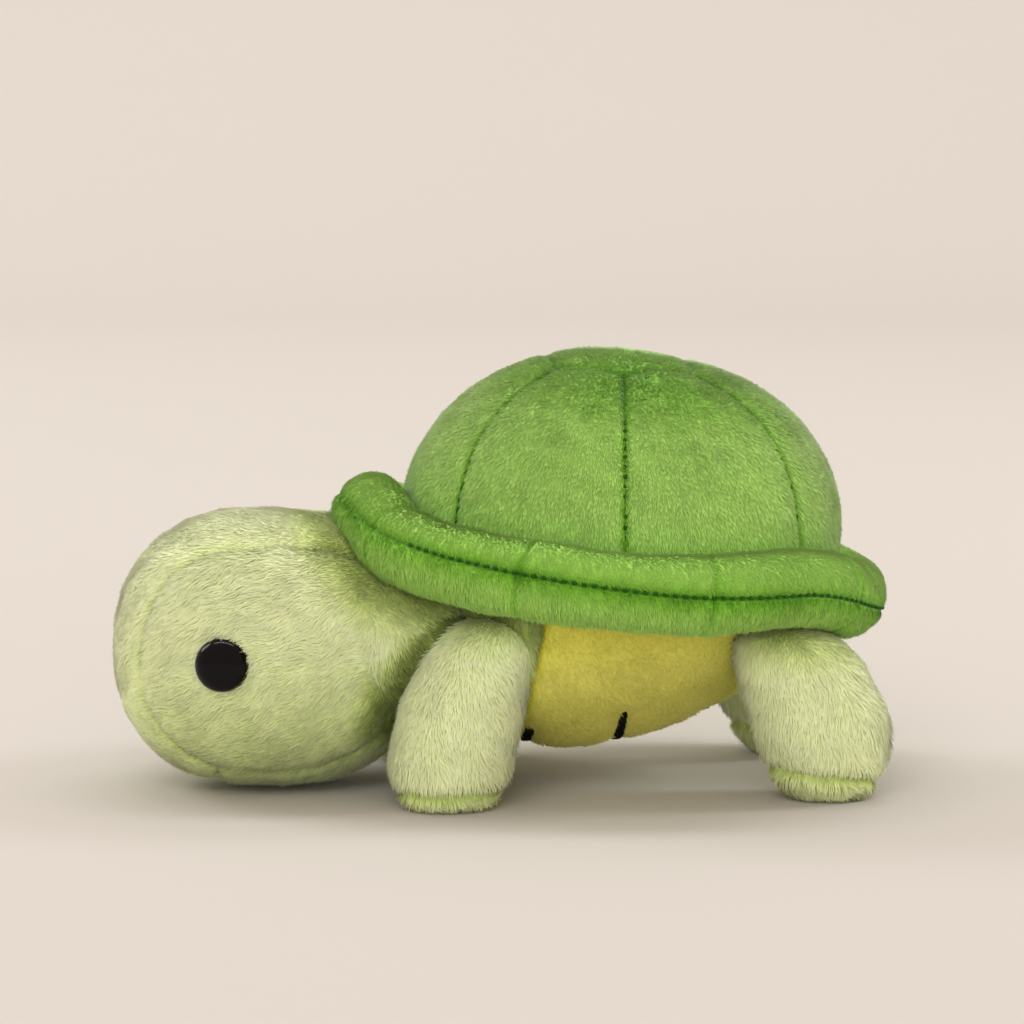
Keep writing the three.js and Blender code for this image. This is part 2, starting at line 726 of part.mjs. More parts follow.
// What a leg must clear at every angle of its swing.
function legKeepOut(leg) {
  const shapes = [stuffedBag(bodyForm, bodyCentre, -runningGap), rollRoom(), neckRoom(), ...turnedHeads()];
  let keepOut = solidOf(shapes[0]);
  for (const shape of shapes) {
    for (const angle of [leg.forward, 0, -leg.backward]) {
      keepOut = keepOut.add(solidOf(swung(shape, leg.hingeY, leg.hingeZ, angle)));
    }
  }
  return keepOut;
}

// The half of a leg's skin on its outer side, split along the leg's lean.
function outerHalf(leg, shift) {
  const lean = Math.atan2(leg.leanX, leg.height);
  return above("x", shift).rotateY(lean).translate(leg.soleX, 0, 0);
}

// A leg of each side: outer and inner panel, sole and stuffing.
function makeLeg(leg) {
  const keepOut = legKeepOut(leg);
  const outer = limbSolid(leg, 0);
  const skin = outer.subtract(limbSolid(leg, cloth)).intersect(solidOf(above("z", cloth + seamGap)));
  const pieces = [
    ["outer_panel", skin.intersect(solidOf(outerHalf(leg, seamGap / 2))), skinGreen],
    ["inner_panel", skin.subtract(solidOf(outerHalf(leg, -seamGap / 2))), skinGreen],
    ["sole", outer.intersect(solidOf(slab("z", 0, cloth))), skinGreen],
    ["stuffing", limbSolid(leg, cloth + stuffingGap), stuffingWhite],
  ];
  for (const [sideName, mirror] of [["left", 1], ["right", -1]]) {
    const legGroup = new THREE.Group();
    legGroup.position.set(0, leg.hingeY, leg.hingeZ);
    legGroup.scale.x = mirror;
    trunk.add(legGroup);
    for (const [pieceName, solid, material] of pieces) {
      const local = geometryOf(mainBody(solid.subtract(keepOut))).translate(0, -leg.hingeY, -leg.hingeZ);
      local.computeVertexNormals();
      const mesh = new THREE.Mesh(local, material());
      mesh.name = leg.name + "_leg_" + sideName + "_" + pieceName;
      legGroup.add(mesh);
    }
  }
}

makeShell();
makeRim(domeGrown.add(bodyGrown));
makeBody();
makeNeck();
makeHead();
makeLeg(frontLeg);
makeLeg(rearLeg);

// The origin moves to the middle of the toy's outline seen from above.
const extent = new THREE.Box3().setFromObject(turtle, true);
turtle.position.set(-(extent.min.x + extent.max.x) / 2, -(extent.min.y + extent.max.y) / 2, -extent.min.z);

export default turtle;
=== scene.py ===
"""A stuffed plush turtle, dressed in cut panels of plush whose pile is real geometry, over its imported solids."""

import math

import bmesh
import bpy
import numpy as np
from mathutils import Matrix, Vector


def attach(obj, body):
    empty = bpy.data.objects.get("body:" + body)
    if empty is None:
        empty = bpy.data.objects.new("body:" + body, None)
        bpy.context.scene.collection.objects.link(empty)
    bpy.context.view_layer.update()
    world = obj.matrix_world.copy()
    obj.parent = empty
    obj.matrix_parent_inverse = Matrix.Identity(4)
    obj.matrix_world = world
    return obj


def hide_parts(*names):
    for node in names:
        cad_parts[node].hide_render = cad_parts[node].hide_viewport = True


bl_info = {
    "name": "Plush Turtle",
    "version": (1, 0, 0),
    "blender": (4, 5, 0),
    "location": "View3D > Sidebar > Turtle",
    "description": "Builds a stuffed plush turtle panel by panel, with its pile, stitches and eyes",
    "category": "Add Mesh",
}

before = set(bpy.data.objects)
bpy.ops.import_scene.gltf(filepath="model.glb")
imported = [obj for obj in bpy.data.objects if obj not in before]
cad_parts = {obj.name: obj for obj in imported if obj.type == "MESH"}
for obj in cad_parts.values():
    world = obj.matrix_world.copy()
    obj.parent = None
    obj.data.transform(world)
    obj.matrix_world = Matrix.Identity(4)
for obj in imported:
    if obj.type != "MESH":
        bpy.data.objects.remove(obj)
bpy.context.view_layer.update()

MM = 0.001
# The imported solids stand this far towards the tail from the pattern's own drawing, in millimetres.
MOVED_BACK = 0.434

# The pattern, in millimetres and degrees. Half sizes are given before the pile, which adds its own thickness.
HEAD = {
    "centre": (0.0, -63.5 + MOVED_BACK, 37.25),
    "half": (37.0, 40.0, 40.0, 37.75),  # side, fore, aft, height
    "power": (2.25, 3.0, 2.1),  # how square it is fore, aft and across: 2 is round
    "inset": 1.9,  # from its outline to the cloth's face under the pile
    "flat": (1.4, 2.0),  # height of the flat under the chin, and how softly it begins
}
BODY = {
    "centre": (0.0, 15.0 + MOVED_BACK, 58.0),
    "half": (46.0, 40.0, 75.0, 49.2),
    "power": (2.2, 1.85, 1.8),
    "inset": 1.2,
    "under": 40.0,  # below this height the sewn lines draw the belly in
}
SHELL = {
    "base": (0.0, 32.4 + MOVED_BACK, 67.5),
    "tilt": 7.8,
    "half": (52.0, 58.6, 47.4),  # side, length, height
    "power": 2.2,
    "inset": 1.1,
    "crown_back": 2.0,  # how far the top leans towards the tail
    "top_radius": 21.0,
    "seams": (31.0, 84.0, 141.0),  # of the left side, in degrees from the front
}
RIM = {
    "centre": (0.0, 29.9 + MOVED_BACK, 61.35),
    "tilt": 10.5,
    "half": (56.0, 65.0),
    "roll": (9.5, 10.4),  # half the roll's thickness, outwards and up
    # Where the seam between the strips stands above the roll's middle, in degrees from the front and round the section
    "seam_rises": ((0.0, 22.0), (60.0, 15.0), (100.0, 3.0), (140.0, -5.0), (180.0, -12.0)),
    "lift": 4.0,  # over the rear legs
    "lift_angle": 133.0,
    "lift_spread": 22.0,
    "sag": 5.5,  # over the front legs
    "sag_angle": 48.0,
    "sag_spread": 50.0,
    "sag_start": 30.0,
    "seams": (25.0, 65.0, 105.0, 145.0, 180.0),  # between strips, of the left side, from the front
}
ROLL_RADIUS = 9.6  # of the rim's roll, for lengths round its section and for what presses on it
FRONT_LEG = {
    "name": "front",
    "half": (15.5, 17.9),
    "height": 51.0,
    "sole": (36.0, -16.6 + MOVED_BACK),
    "lean": (-6.0, 14.0),  # how far the top stands from over the sole
    # Shares of the half size and of the height
    "outline": ((0.0, 0.0), (0.68, 0.0), (0.88, 0.07), (0.99, 0.22), (0.99, 0.45), (0.97, 0.7), (0.88, 0.87),
                (0.58, 0.97), (0.0, 1.0)),
    "sole_seam": (5.6, 0.0),  # height over the middle of the sole, and rise per millimetre towards the tail
}
REAR_LEG = {
    "name": "rear",
    "half": (15.5, 19.7),
    "height": 47.0,
    "sole": (34.5, 82.6 + MOVED_BACK),
    "lean": (-4.0, -13.0),
    "outline": ((0.0, 0.0), (0.54, 0.0), (0.78, 0.12), (0.97, 0.33), (1.0, 0.55), (0.92, 0.8), (0.72, 0.93),
                (0.4, 0.985), (0.0, 1.0)),
    "sole_seam": (8.0, -0.14),
}
LEG_INSET = 1.9
NECK = {"radius": 22.0, "centre": (0.0, -22.0 + MOVED_BACK, 41.0), "sleeve": (36.0, 23.5, 23.0), "blend": 20.0}
CHEEK_SEAM = 20.0  # the cheeks' seams, either side of the middle
CHIN_SEAM_Y = -74.5 + MOVED_BACK
CHEST_SEAM = (1.6 + MOVED_BACK, 8.8, 7.5)  # place, height and lean in degrees
CLOTH = 1.0  # thickness without its pile
TABLE_GAP = 0.15
LINE_WIDTH = 2.0
# The belly's black lines: place and half width of each cross line, and both ends of the middle one
LINE_CROSSES = ((6.0 + MOVED_BACK, 19.0), (30.0 + MOVED_BACK, 25.0), (54.0 + MOVED_BACK, 7.0))
LINE_MIDDLE_Y = (5.0 + MOVED_BACK, 66.0 + MOVED_BACK)
EYE = {
    "diameter": 14.0,
    "height": 5.6,
    "edge": 0.8,
    "chamfer": 0.35,
    "sunk": 2.1,  # how deep its back lies in the cheek
    "dome": 0.84,  # power of the dome's outline: 1 is round and less is fuller
    "shank": (2.0, 12.6),  # radius and length
    "y": -75.2 + MOVED_BACK,
    "z": 38.0,
}

LENS_AIM = (-8.81, 4.779, 70.80)
LENS_AZIMUTH, LENS_ELEVATION = 84.0, 7.5
LENS_DISTANCE = 1200.0
LENS_FIELD = 12.974


def length_setting(name, description, default):
    return bpy.props.FloatProperty(name=name, description=description, default=default, min=0.0001, unit="LENGTH")


def colour_setting(name, description, default):
    return bpy.props.FloatVectorProperty(name=name, description=description, default=default, size=3, subtype="COLOR")


class PileSettings(bpy.types.PropertyGroup):
    """How long and thick the pile is on each cloth."""

    skin_length: length_setting("Skin pile", "Length of the pale pile of head and legs", 0.0037)
    under_length: length_setting("Rim pile underneath", "Length of the rim's lower pile", 0.0029)
    rim_length: length_setting("Rim pile on top", "Length of the rim's upper pile", 0.0021)
    shell_length: length_setting("Shell pile", "Length of the shell's combed pile", 0.0020)
    belly_length: length_setting("Belly pile", "Length of the yellow pile", 0.0017)
    line_length: length_setting("Line pile", "Length of the threads of the belly's sewn lines", 0.0008)
    strand_width: length_setting("Strand width", "Width of one tuft of fibres at its root", 0.00043)
    fullness: bpy.props.FloatProperty(name="Fullness", description="Share of the strands that are made",
                                      default=1.0, min=0.01, max=1.0, subtype="FACTOR")
    seed: bpy.props.IntProperty(name="Seed", description="Start of the random draws", default=11)


class ColourSettings(bpy.types.PropertyGroup):
    """The colours of cloth, thread and stage."""

    skin_root: colour_setting("Skin root", "Pale pile at its root", (0.72, 0.86, 0.22))
    skin_tip: colour_setting("Skin tip", "Pale pile at its tip", (0.90, 1.0, 0.60))
    # The soles' pile is greener than the legs' and a little darker too, partly as painted shade on their downward face.
    sole_root: colour_setting("Sole root", "Greener pile at its root", (0.60, 0.78, 0.21))
    sole_tip: colour_setting("Sole tip", "Greener pile at its tip", (0.86, 0.97, 0.50))
    shell_root: colour_setting("Shell root", "Green pile at its root", (0.17, 0.42, 0.035))
    shell_tip: colour_setting("Shell tip", "Green pile at its tip", (0.52, 0.84, 0.21))
    under_tip: colour_setting("Rim tip underneath", "Longer green pile at its tip", (0.40, 0.72, 0.14))
    rim_tip: colour_setting("Rim tip on top", "Short green pile at its tip", (0.36, 0.68, 0.115))
    belly_root: colour_setting("Belly root", "Yellow pile at its root", (0.70, 0.68, 0.08))
    belly_tip: colour_setting("Belly tip", "Yellow pile at its tip", (0.97, 0.95, 0.22))
    thread: colour_setting("Thread", "The shell's stitches", (0.015, 0.10, 0.012))
    line: colour_setting("Belly lines", "The sewn lines of the belly", (0.006, 0.006, 0.005))
    fibre: colour_setting("Filling", "The stuffing's fibre", (0.85, 0.84, 0.80))
    backdrop: colour_setting("Backdrop", "The table and the wall behind", (0.57, 0.545, 0.495))


def unit_rows(rows):
    return rows / np.maximum(np.linalg.norm(rows, axis=1, keepdims=True), 1e-9)


def smooth_step(value, low, high):
    share = np.clip((value - low) / (high - low), 0.0, 1.0)
    return share * share * (3.0 - 2.0 * share)


def waves(points, length, seed, count=9):
    """A smooth irregular pattern of about -1 to 1, from plane waves of about one length."""
    draws = np.random.default_rng(seed)
    total = np.zeros(len(points))
    for _ in range(count):
        way = draws.normal(size=3)
        way /= np.linalg.norm(way)
        turns = 2.0 * math.pi / (length * draws.uniform(0.7, 1.4))
        total += np.sin(points @ way * turns + draws.uniform(0.0, 2.0 * math.pi))
    return total / math.sqrt(2.0 * count)


def groove(distance, width, depth):
    return depth * np.exp(-((distance / width) ** 2))


def bag_share(points, form, inset=0.0):
    """How far points lie out of a stuffed bag's centre: 1 on its surface."""
    side, fore, aft, height = (size - inset for size in form["half"])
    power_fore, power_aft, across = form["power"]
    x, y, z = (points - np.array(form["centre"])).T
    y = y / np.where(y < 0.0, fore, aft)
    z = z / height
    x = np.abs(x) / side
    power = power_fore + (power_aft - power_fore) * smooth_step(y, -0.5, 0.5)
    seen = (np.abs(y) ** power + np.abs(z) ** power) ** (1.0 / power)
    return (seen**across + x**across) ** (1.0 / across)


def bag_points(unit, form, inset):
    """Points of a unit ball, carried to the surface of a stuffed bag."""
    p = unit_rows(unit)
    power_fore, power_aft, across = form["power"]
    power = power_fore + (power_aft - power_fore) * smooth_step(p[:, 1], -0.5, 0.5)
    seen = (np.abs(p[:, 1]) ** power + np.abs(p[:, 2]) ** power) ** (1.0 / power)
    p = p * ((seen**across + np.abs(p[:, 0]) ** across) ** (-1.0 / across))[:, None]
    side, fore, aft, height = (size - inset for size in form["half"])
    length = np.where(p[:, 1] < 0.0, fore, aft)
    return np.stack([p[:, 0] * side, p[:, 1] * length, p[:, 2] * height], 1) + np.array(form["centre"])


def tilted(form, place):
    """A tilted form's turn, as a matrix, and the place it turns about."""
    angle = math.radians(form["tilt"])
    turn = np.array(Matrix.Rotation(-angle, 3, "X"))
    return turn, np.array(place)


def into_frame(points, form, place):
    turn, origin = tilted(form, place)
    return (points - origin) @ turn


def out_of_frame(points, form, place):
    turn, origin = tilted(form, place)
    return points @ turn.T + origin


def dome_share(points, inset=0.0):
    """How far points lie out of the shell's centre: 1 on its surface, and 9 under its foot."""
    local = into_frame(points, SHELL, SHELL["base"])
    side, length, height = (size - inset for size in SHELL["half"])
    up = np.clip(local[:, 2] / height, -0.15, None)
    out = np.hypot(local[:, 0] / side, (local[:, 1] - SHELL["crown_back"] * np.maximum(up, 0.0)) / length)
    power = SHELL["power"]
    return np.where(local[:, 2] < -3.0, 9.0, (out**power + np.abs(up) ** power) ** (1.0 / power))


def roll_middle(points):
    """The nearest place on the middle of the rim's roll, and the points, in the rim's frame."""
    local = into_frame(points, RIM, RIM["centre"])
    half_width, half_length = RIM["half"]
    angle = np.arctan2(local[:, 0] / half_width, -local[:, 1] / half_length)
    lift = rim_lift(angle)
    middle = np.stack([half_width * np.sin(angle), -half_length * np.cos(angle), lift], 1)
    return local, middle


def rim_lift(angle):
    """How far the rear leg lifts the roll, less how far the roll sags over the front leg."""
    angle = np.degrees(np.abs(angle))
    lift = RIM["lift"] * np.exp(-(((angle - RIM["lift_angle"]) / RIM["lift_spread"]) ** 2))
    sag = RIM["sag"] * np.exp(-(((angle - RIM["sag_angle"]) / RIM["sag_spread"]) ** 2))
    return lift - sag * smooth_step(angle, 0.0, RIM["sag_start"])


def roll_distance(points):
    local, middle = roll_middle(points)
    return np.linalg.norm(local - middle, axis=1)


def leg_share(points, leg, side, inset=0.0):
    """Squared share of the way out from a leg's axis: 1 on its surface, and 9 above and below it."""
    outline = np.array(leg["outline"])
    half_width, half_length = (size - inset for size in leg["half"])
    share = (points[:, 2] - inset) / (leg["height"] - 2.0 * inset)
    across = (side * points[:, 0] - leg["sole"][0] - leg["lean"][0] * share) / half_width
    along = (points[:, 1] - leg["sole"][1] - leg["lean"][1] * np.clip(share, 0, 1) ** 2) / half_length
    radius = np.interp(share, outline[:, 1], outline[:, 0])
    inside = (share > 0.0) & (share < 1.0)
    return np.where(inside, (across**2 + along**2) / np.maximum(radius, 1e-3) ** 2, 9.0)


def sleeve_gap(points, inset=0.0):
    """Rough distance of points outside the neck's sleeve of plush."""
    half = np.array(NECK["sleeve"]) - inset
    away = (points - np.array(NECK["centre"])) / half
    return (np.linalg.norm(away, axis=1) - 1.0) * half[1]


def head_gap(points, inset=0.0):
    """Rough distance of points outside the head."""
    return (bag_share(points, HEAD, inset) - 1.0) * HEAD["half"][0]


def fillet(gap):
    """How far a surface swells where another one, at some distance, runs into it."""
    return NECK["blend"] / 4.0 * np.clip(1.0 - gap / NECK["blend"], 0.0, 1.0) ** 2


def neck_distance(points):
    return np.linalg.norm(points - np.array(NECK["centre"]), axis=1)


def rows_of(mesh):
    return np.array([v.co[:] for v in mesh.verts])


def move_rows(mesh, rows):
    for vert, row in zip(mesh.verts, rows):
        vert.co = row
    mesh.normal_update()


def ball(subdivisions):
    mesh = bmesh.new()
    bmesh.ops.create_icosphere(mesh, subdivisions=subdivisions, radius=1.0)
    return mesh


def chain(mesh, places):
    """Places joined one after another by edges, as an outline to spin or to extrude."""
    verts = [mesh.verts.new(place) for place in places]
    return verts, [mesh.edges.new(pair) for pair in zip(verts, verts[1:])]


def spun(mesh, outline, angle, steps):
    """Spins an outline about the Z axis, and welds it where it comes full circle."""
    verts, edges = chain(mesh, outline)
    bmesh.ops.spin(mesh, geom=verts + edges, cent=(0, 0, 0), axis=(0, 0, 1), angle=angle, steps=steps,
                   use_merge=angle > 6.28)


def cut(mesh, *planes):
    """A copy of a mesh, without what lies in front of each plane, given as a point and its normal."""
    part = mesh.copy()
    for place, normal in planes:
        everything = part.verts[:] + part.edges[:] + part.faces[:]
        bmesh.ops.bisect_plane(part, geom=everything, dist=1e-5, plane_co=place, plane_no=normal, clear_outer=True)
    part.normal_update()
    return part


def drop_faces(mesh, hidden):
    """Removes the faces whose corners all lie where hidden says."""
    mesh.verts.index_update()
    out_of_sight = hidden(rows_of(mesh))
    doomed = [face for face in mesh.faces if all(out_of_sight[v.index] for v in face.verts)]
    bmesh.ops.delete(mesh, geom=doomed, context="FACES")
    keep_largest(mesh)


def keep_largest(mesh):
    """Removes loose islands of faces beside the largest one."""
    left = set(mesh.faces)
    islands = []
    while left:
        start = left.pop()
        island, border = [start], [start]
        while border:
            face = border.pop()
            for edge in face.edges:
                for other in edge.link_faces:
                    if other in left:
                        left.discard(other)
                        island.append(other)
                        border.append(other)
        islands.append(island)
    if len(islands) > 1:
        islands.sort(key=len)
        doomed = [face for island in islands[:-1] for face in island]
        bmesh.ops.delete(mesh, geom=doomed, context="FACES")


def triangles_of(mesh):
    """Corners and their normals of a mesh's triangles, as two arrays."""
    copy = mesh.copy()
    bmesh.ops.triangulate(copy, faces=copy.faces[:])
    copy.normal_update()
    places = rows_of(copy)
    normals = np.array([v.normal[:] for v in copy.verts])
    copy.verts.index_update()
    corners = np.array([[v.index for v in face.verts] for face in copy.faces])
    copy.free()
    return places[corners], normals[corners]


def scatter(mesh, density, draws):
    """Even random places on a mesh, with its normals there."""
    places, normals = triangles_of(mesh)
    area = np.linalg.norm(np.cross(places[:, 1] - places[:, 0], places[:, 2] - places[:, 0]), axis=1) / 2.0
    total = area.sum()
    count = max(1, int(total * density))
    picks = (np.arange(count) + draws.random(count)) / count * total
    face = np.minimum(np.searchsorted(np.cumsum(area), picks), len(area) - 1)
    root, turn = np.sqrt(draws.random(count)), draws.random(count)
    weights = np.stack([1.0 - root, root * (1.0 - turn), root * turn], 1)[:, :, None]
    return (places[face] * weights).sum(1), unit_rows((normals[face] * weights).sum(1))


def gathered(tips, roots, size, pull, draws):
    """Tips drawn together in locks of about one size."""
    jitter = waves(roots, 4.0 * size, 5)[:, None] * 0.35 * size
    cell = np.floor((roots + jitter) / size).astype(np.int64)
    # Three large primes give each cell a number of its own.
    key = (cell[:, 0] * 73856093) ^ (cell[:, 1] * 19349663) ^ (cell[:, 2] * 83492791)
    _, lock = np.unique(key, return_inverse=True)
    count = np.bincount(lock).astype(float)
    middle = np.stack([np.bincount(lock, tips[:, axis]) / count for axis in range(3)], 1)[lock]
    share = pull * draws.uniform(0.35, 1.0, len(tips))[:, None]
    return tips + (middle - tips) * share, lock


ROOT_SUNK = 0.35  # how deep a strand's foot stands in its cloth, in millimetres
ROOT_SPREAD = 1.3  # a foot's size, as a share of the strand's width
LEAN_LIMITS = (8.0, 84.0)  # in degrees from upright
UNEVEN_SIZE = 7.0  # of the patches where the pile lies flatter or stands up, in millimetres


def strand_ways(roots, normals, spec, draws):
    """Which way each strand leaves its cloth: combed, swirled and leaned, and straying a little."""
    comb = spec["comb"](roots, normals)
    comb = unit_rows(comb - normals * (comb * normals).sum(1, keepdims=True))
    across = np.cross(normals, comb)
    swirl = spec["swirl"] * waves(roots, spec["swirl_size"], spec["seed"] + 1)
    swirl = np.radians(swirl + draws.normal(0.0, spec["stray"], len(roots)))[:, None]
    flow = comb * np.cos(swirl) + across * np.sin(swirl)
    uneven = waves(roots, UNEVEN_SIZE, spec["seed"] + 2) + draws.normal(0.0, 0.8, len(roots))
    lean = spec["lean"] + spec["uneven"] * uneven - spec["raised"](roots)
    lean = np.radians(np.clip(lean, *LEAN_LIMITS))[:, None]
    return normals * np.cos(lean) + flow * np.sin(lean)


def spikes(roots, normals, tips, half):
    """Closed three-sided spikes between roots and tips, as points, triangles and shading normals."""
    ways = unit_rows(tips - roots)
    beside = unit_rows(np.cross(ways, normals) + 1e-6)
    over = np.cross(beside, ways)
    sunk = roots - normals * ROOT_SUNK
    feet = [sunk + (beside * math.cos(turn) + over * math.sin(turn)) * half * ROOT_SPREAD for turn in (0.5, 2.6, 4.7)]
    points = np.stack([*feet, tips], 1).reshape(-1, 3)
    first = np.arange(len(roots))[:, None] * 4
    shape = np.array([[1, 0, 3], [2, 1, 3], [0, 2, 3], [0, 1, 2]])
    faces = (first[:, :, None] + shape[None]).reshape(-1, 3)
    return points, faces, np.repeat(unit_rows(normals + ways * 0.25), 4, 0)


def pile(mesh, spec, hidden, shade):
    """Strands rooted all over a mesh, as points, triangles, shading normals and tints."""
    settings = bpy.context.scene.turtle_pile
    draws = np.random.default_rng(settings.seed + spec["seed"])
    roots, normals = scatter(mesh, spec["density"] * settings.fullness, draws)
    shown = ~hidden(roots)
    roots, normals = roots[shown], normals[shown]
    count, shaded = len(roots), shade(roots)
    ways = strand_ways(roots, normals, spec, draws)
    length = spec["length"] / MM * draws.uniform(0.72, 1.2, count) * (1.0 - 0.55 * np.minimum(shaded, 0.5))
    tips, lock = gathered(roots + ways * length[:, None], roots, spec["lock"], spec["pull"], draws)
    tips[:, 2] = np.maximum(tips[:, 2], TABLE_GAP)
    half = spec["width"] / MM * settings.fullness**-0.5 * draws.uniform(0.75, 1.25, count)[:, None] / 2.0
    points, faces, shading = spikes(roots, normals, tips, half)
    # The tint's red is 1 at a tip. Green tells locks and strands apart and carries the pile's tone, which is painted
    # light on the legs and the crown. Blue is the painted shade they stand in.
    tint = np.zeros((count, 4, 4), np.float32)
    tint[:, 3, 0] = 1.0
    lock_tint = np.random.default_rng(spec["seed"]).random(lock.max() + 1)[lock]
    tint[:, :, 1] = (spec["tone"] + 0.45 * lock_tint + 0.55 * draws.random(count))[:, None]
    tint[:, :, 2] = shaded[:, None]
    tint[:, :, 3] = 1.0
    return points, faces, shading, tint.reshape(-1, 4)


CLOTH_STRIP = 0.1  # the share of the bake's map that the cloth takes under its strands


def strand_map(count):
    """A place in the bake's map for each strand's corners: a row of small cells over the cloth's own strip."""
    columns = max(1, int(math.ceil(math.sqrt(count))))
    column, row = np.arange(count) % columns, np.arange(count) // columns
    rows = max(1, int(math.ceil(count / columns)))
    width, height = 1.0 / columns, (1.0 - CLOTH_STRIP) / rows
    u, v = column * width, CLOTH_STRIP + row * height
    corners = ((0.1, 0.1), (0.5, 0.05), (0.9, 0.1), (0.5, 0.95))
    return np.stack([np.stack([u + across * width, v + up * height], 1) for across, up in corners], 1)


def read(items, name, width, kind=np.float64):
    """One property of a mesh's vertices or corners, as rows."""
    values = np.empty(len(items) * width, kind)
    items.foreach_get(name, values)
    return values.reshape(-1, width)


def thickened(mesh, thickness):
    """A sheet as a closed cloth of some thickness under its outer face, as points, triangles and normals."""
    sheet = bpy.data.meshes.new("cloth")
    mesh.to_mesh(sheet)
    carrier = bpy.data.objects.new("cloth", sheet)
    bpy.context.scene.collection.objects.link(carrier)
    wall = carrier.modifiers.new("wall", "SOLIDIFY")
    wall.thickness = thickness
    wall.offset = -1.0
    carrier.modifiers.new("triangles", "TRIANGULATE")
    shown = carrier.evaluated_get(bpy.context.evaluated_depsgraph_get())
    made = bpy.data.meshes.new_from_object(shown)
    points, normals = read(made.vertices, "co", 3), read(made.vertices, "normal", 3)
    faces = read(made.loops, "vertex_index", 1, np.int32).reshape(-1, 3)
    bpy.data.objects.remove(carrier)
    bpy.data.meshes.remove(sheet)
    bpy.data.meshes.remove(made)
    return points, faces, normals


def plush_object(name, mesh, spec, hidden, shade, material):
    """A panel of plush: its cloth, closed, and the pile rooted on its outer face, in one mesh."""
    cloth_points, cloth_faces, cloth_normals = thickened(mesh, CLOTH)
    points, faces, shading, tint = pile(mesh, spec, hidden, shade)
    cloth_tint = np.tile(np.array([spec["bare"], 0.5, 0.0, 1.0], np.float32), (len(cloth_points), 1))
    cloth_tint[:, 2] = shade(cloth_points)
    low, high = cloth_points.min(0), cloth_points.max(0)
    spread = (cloth_points - low) / np.maximum(high - low, 1e-6)
    longest, next_longest = np.argsort(high - low)[:0:-1]
    cloth_map = np.stack([spread[:, longest], spread[:, next_longest] * 0.9 * CLOTH_STRIP], 1)
    places = np.concatenate([cloth_map, strand_map(len(points) // 4).reshape(-1, 2)])
    corners = np.concatenate([cloth_faces, faces + len(cloth_points)])
    data = mesh_of(name, np.concatenate([cloth_points, points]) * MM, corners)
    data.shade_smooth()
    data.normals_split_custom_set_from_vertices(np.concatenate([cloth_normals, shading]))
    colours = data.attributes.new("pile", "FLOAT_COLOR", "POINT")
    colours.data.foreach_set("color", np.concatenate([cloth_tint, tint]).astype(np.float32).ravel())
    layer = data.uv_layers.new(name="OFBake")
    layer.uv.foreach_set("vector", places[corners.ravel()].astype(np.float32).ravel())
    data.materials.append(material)
    mesh.free()
    return placed(name, data)


def mesh_of(name, points, faces):
    """A mesh of triangles from rows of points and of corners."""
    data = bpy.data.meshes.new(name)
    data.vertices.add(len(points))
    data.vertices.foreach_set("co", points.astype(np.float32).ravel())
    data.loops.add(faces.size)
    data.loops.foreach_set("vertex_index", faces.astype(np.int32).ravel())
    data.polygons.add(len(faces))
    data.polygons.foreach_set("loop_start", np.arange(0, faces.size, 3, dtype=np.int32))
    data.update(calc_edges=True)
    return data


def placed(name, data):
    piece = bpy.data.objects.new(name, data)
    bpy.context.scene.collection.objects.link(piece)
    return piece


def solid_object(name, mesh, material, scale=MM):
    """A finished bmesh in millimetres as an object in metres."""
    bmesh.ops.scale(mesh, vec=(scale,) * 3, verts=mesh.verts)
    bmesh.ops.recalc_face_normals(mesh, faces=mesh.faces[:])
    data = bpy.data.meshes.new(name)
    mesh.to_mesh(data)
    mesh.free()
    data.shade_smooth()
    data.materials.append(material)
    return placed(name, data)


def belongs(piece, body, slot, *nodes):
    """Says which body a piece rides on and which solids it stands for; the name of its finish is not used."""
    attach(piece, body)
    if nodes:
        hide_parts(*nodes)


# Materials

def colour_socket(sockets, name):
    """The one of a mix node's like-named sockets that carries a colour."""
    return next(one for one in sockets if one.name == name and one.type == "RGBA")


def math_node(group, operation, *values):
    """The result of a math node, whose inputs are given as sockets or plain numbers."""
    node = group.nodes.new("ShaderNodeMath")
    node.operation = operation
    for slot, value in zip(node.inputs, values):
        if isinstance(value, bpy.types.NodeSocket):
            group.links.new(value, slot)
        else:
            slot.default_value = value
    return node.outputs["Value"]


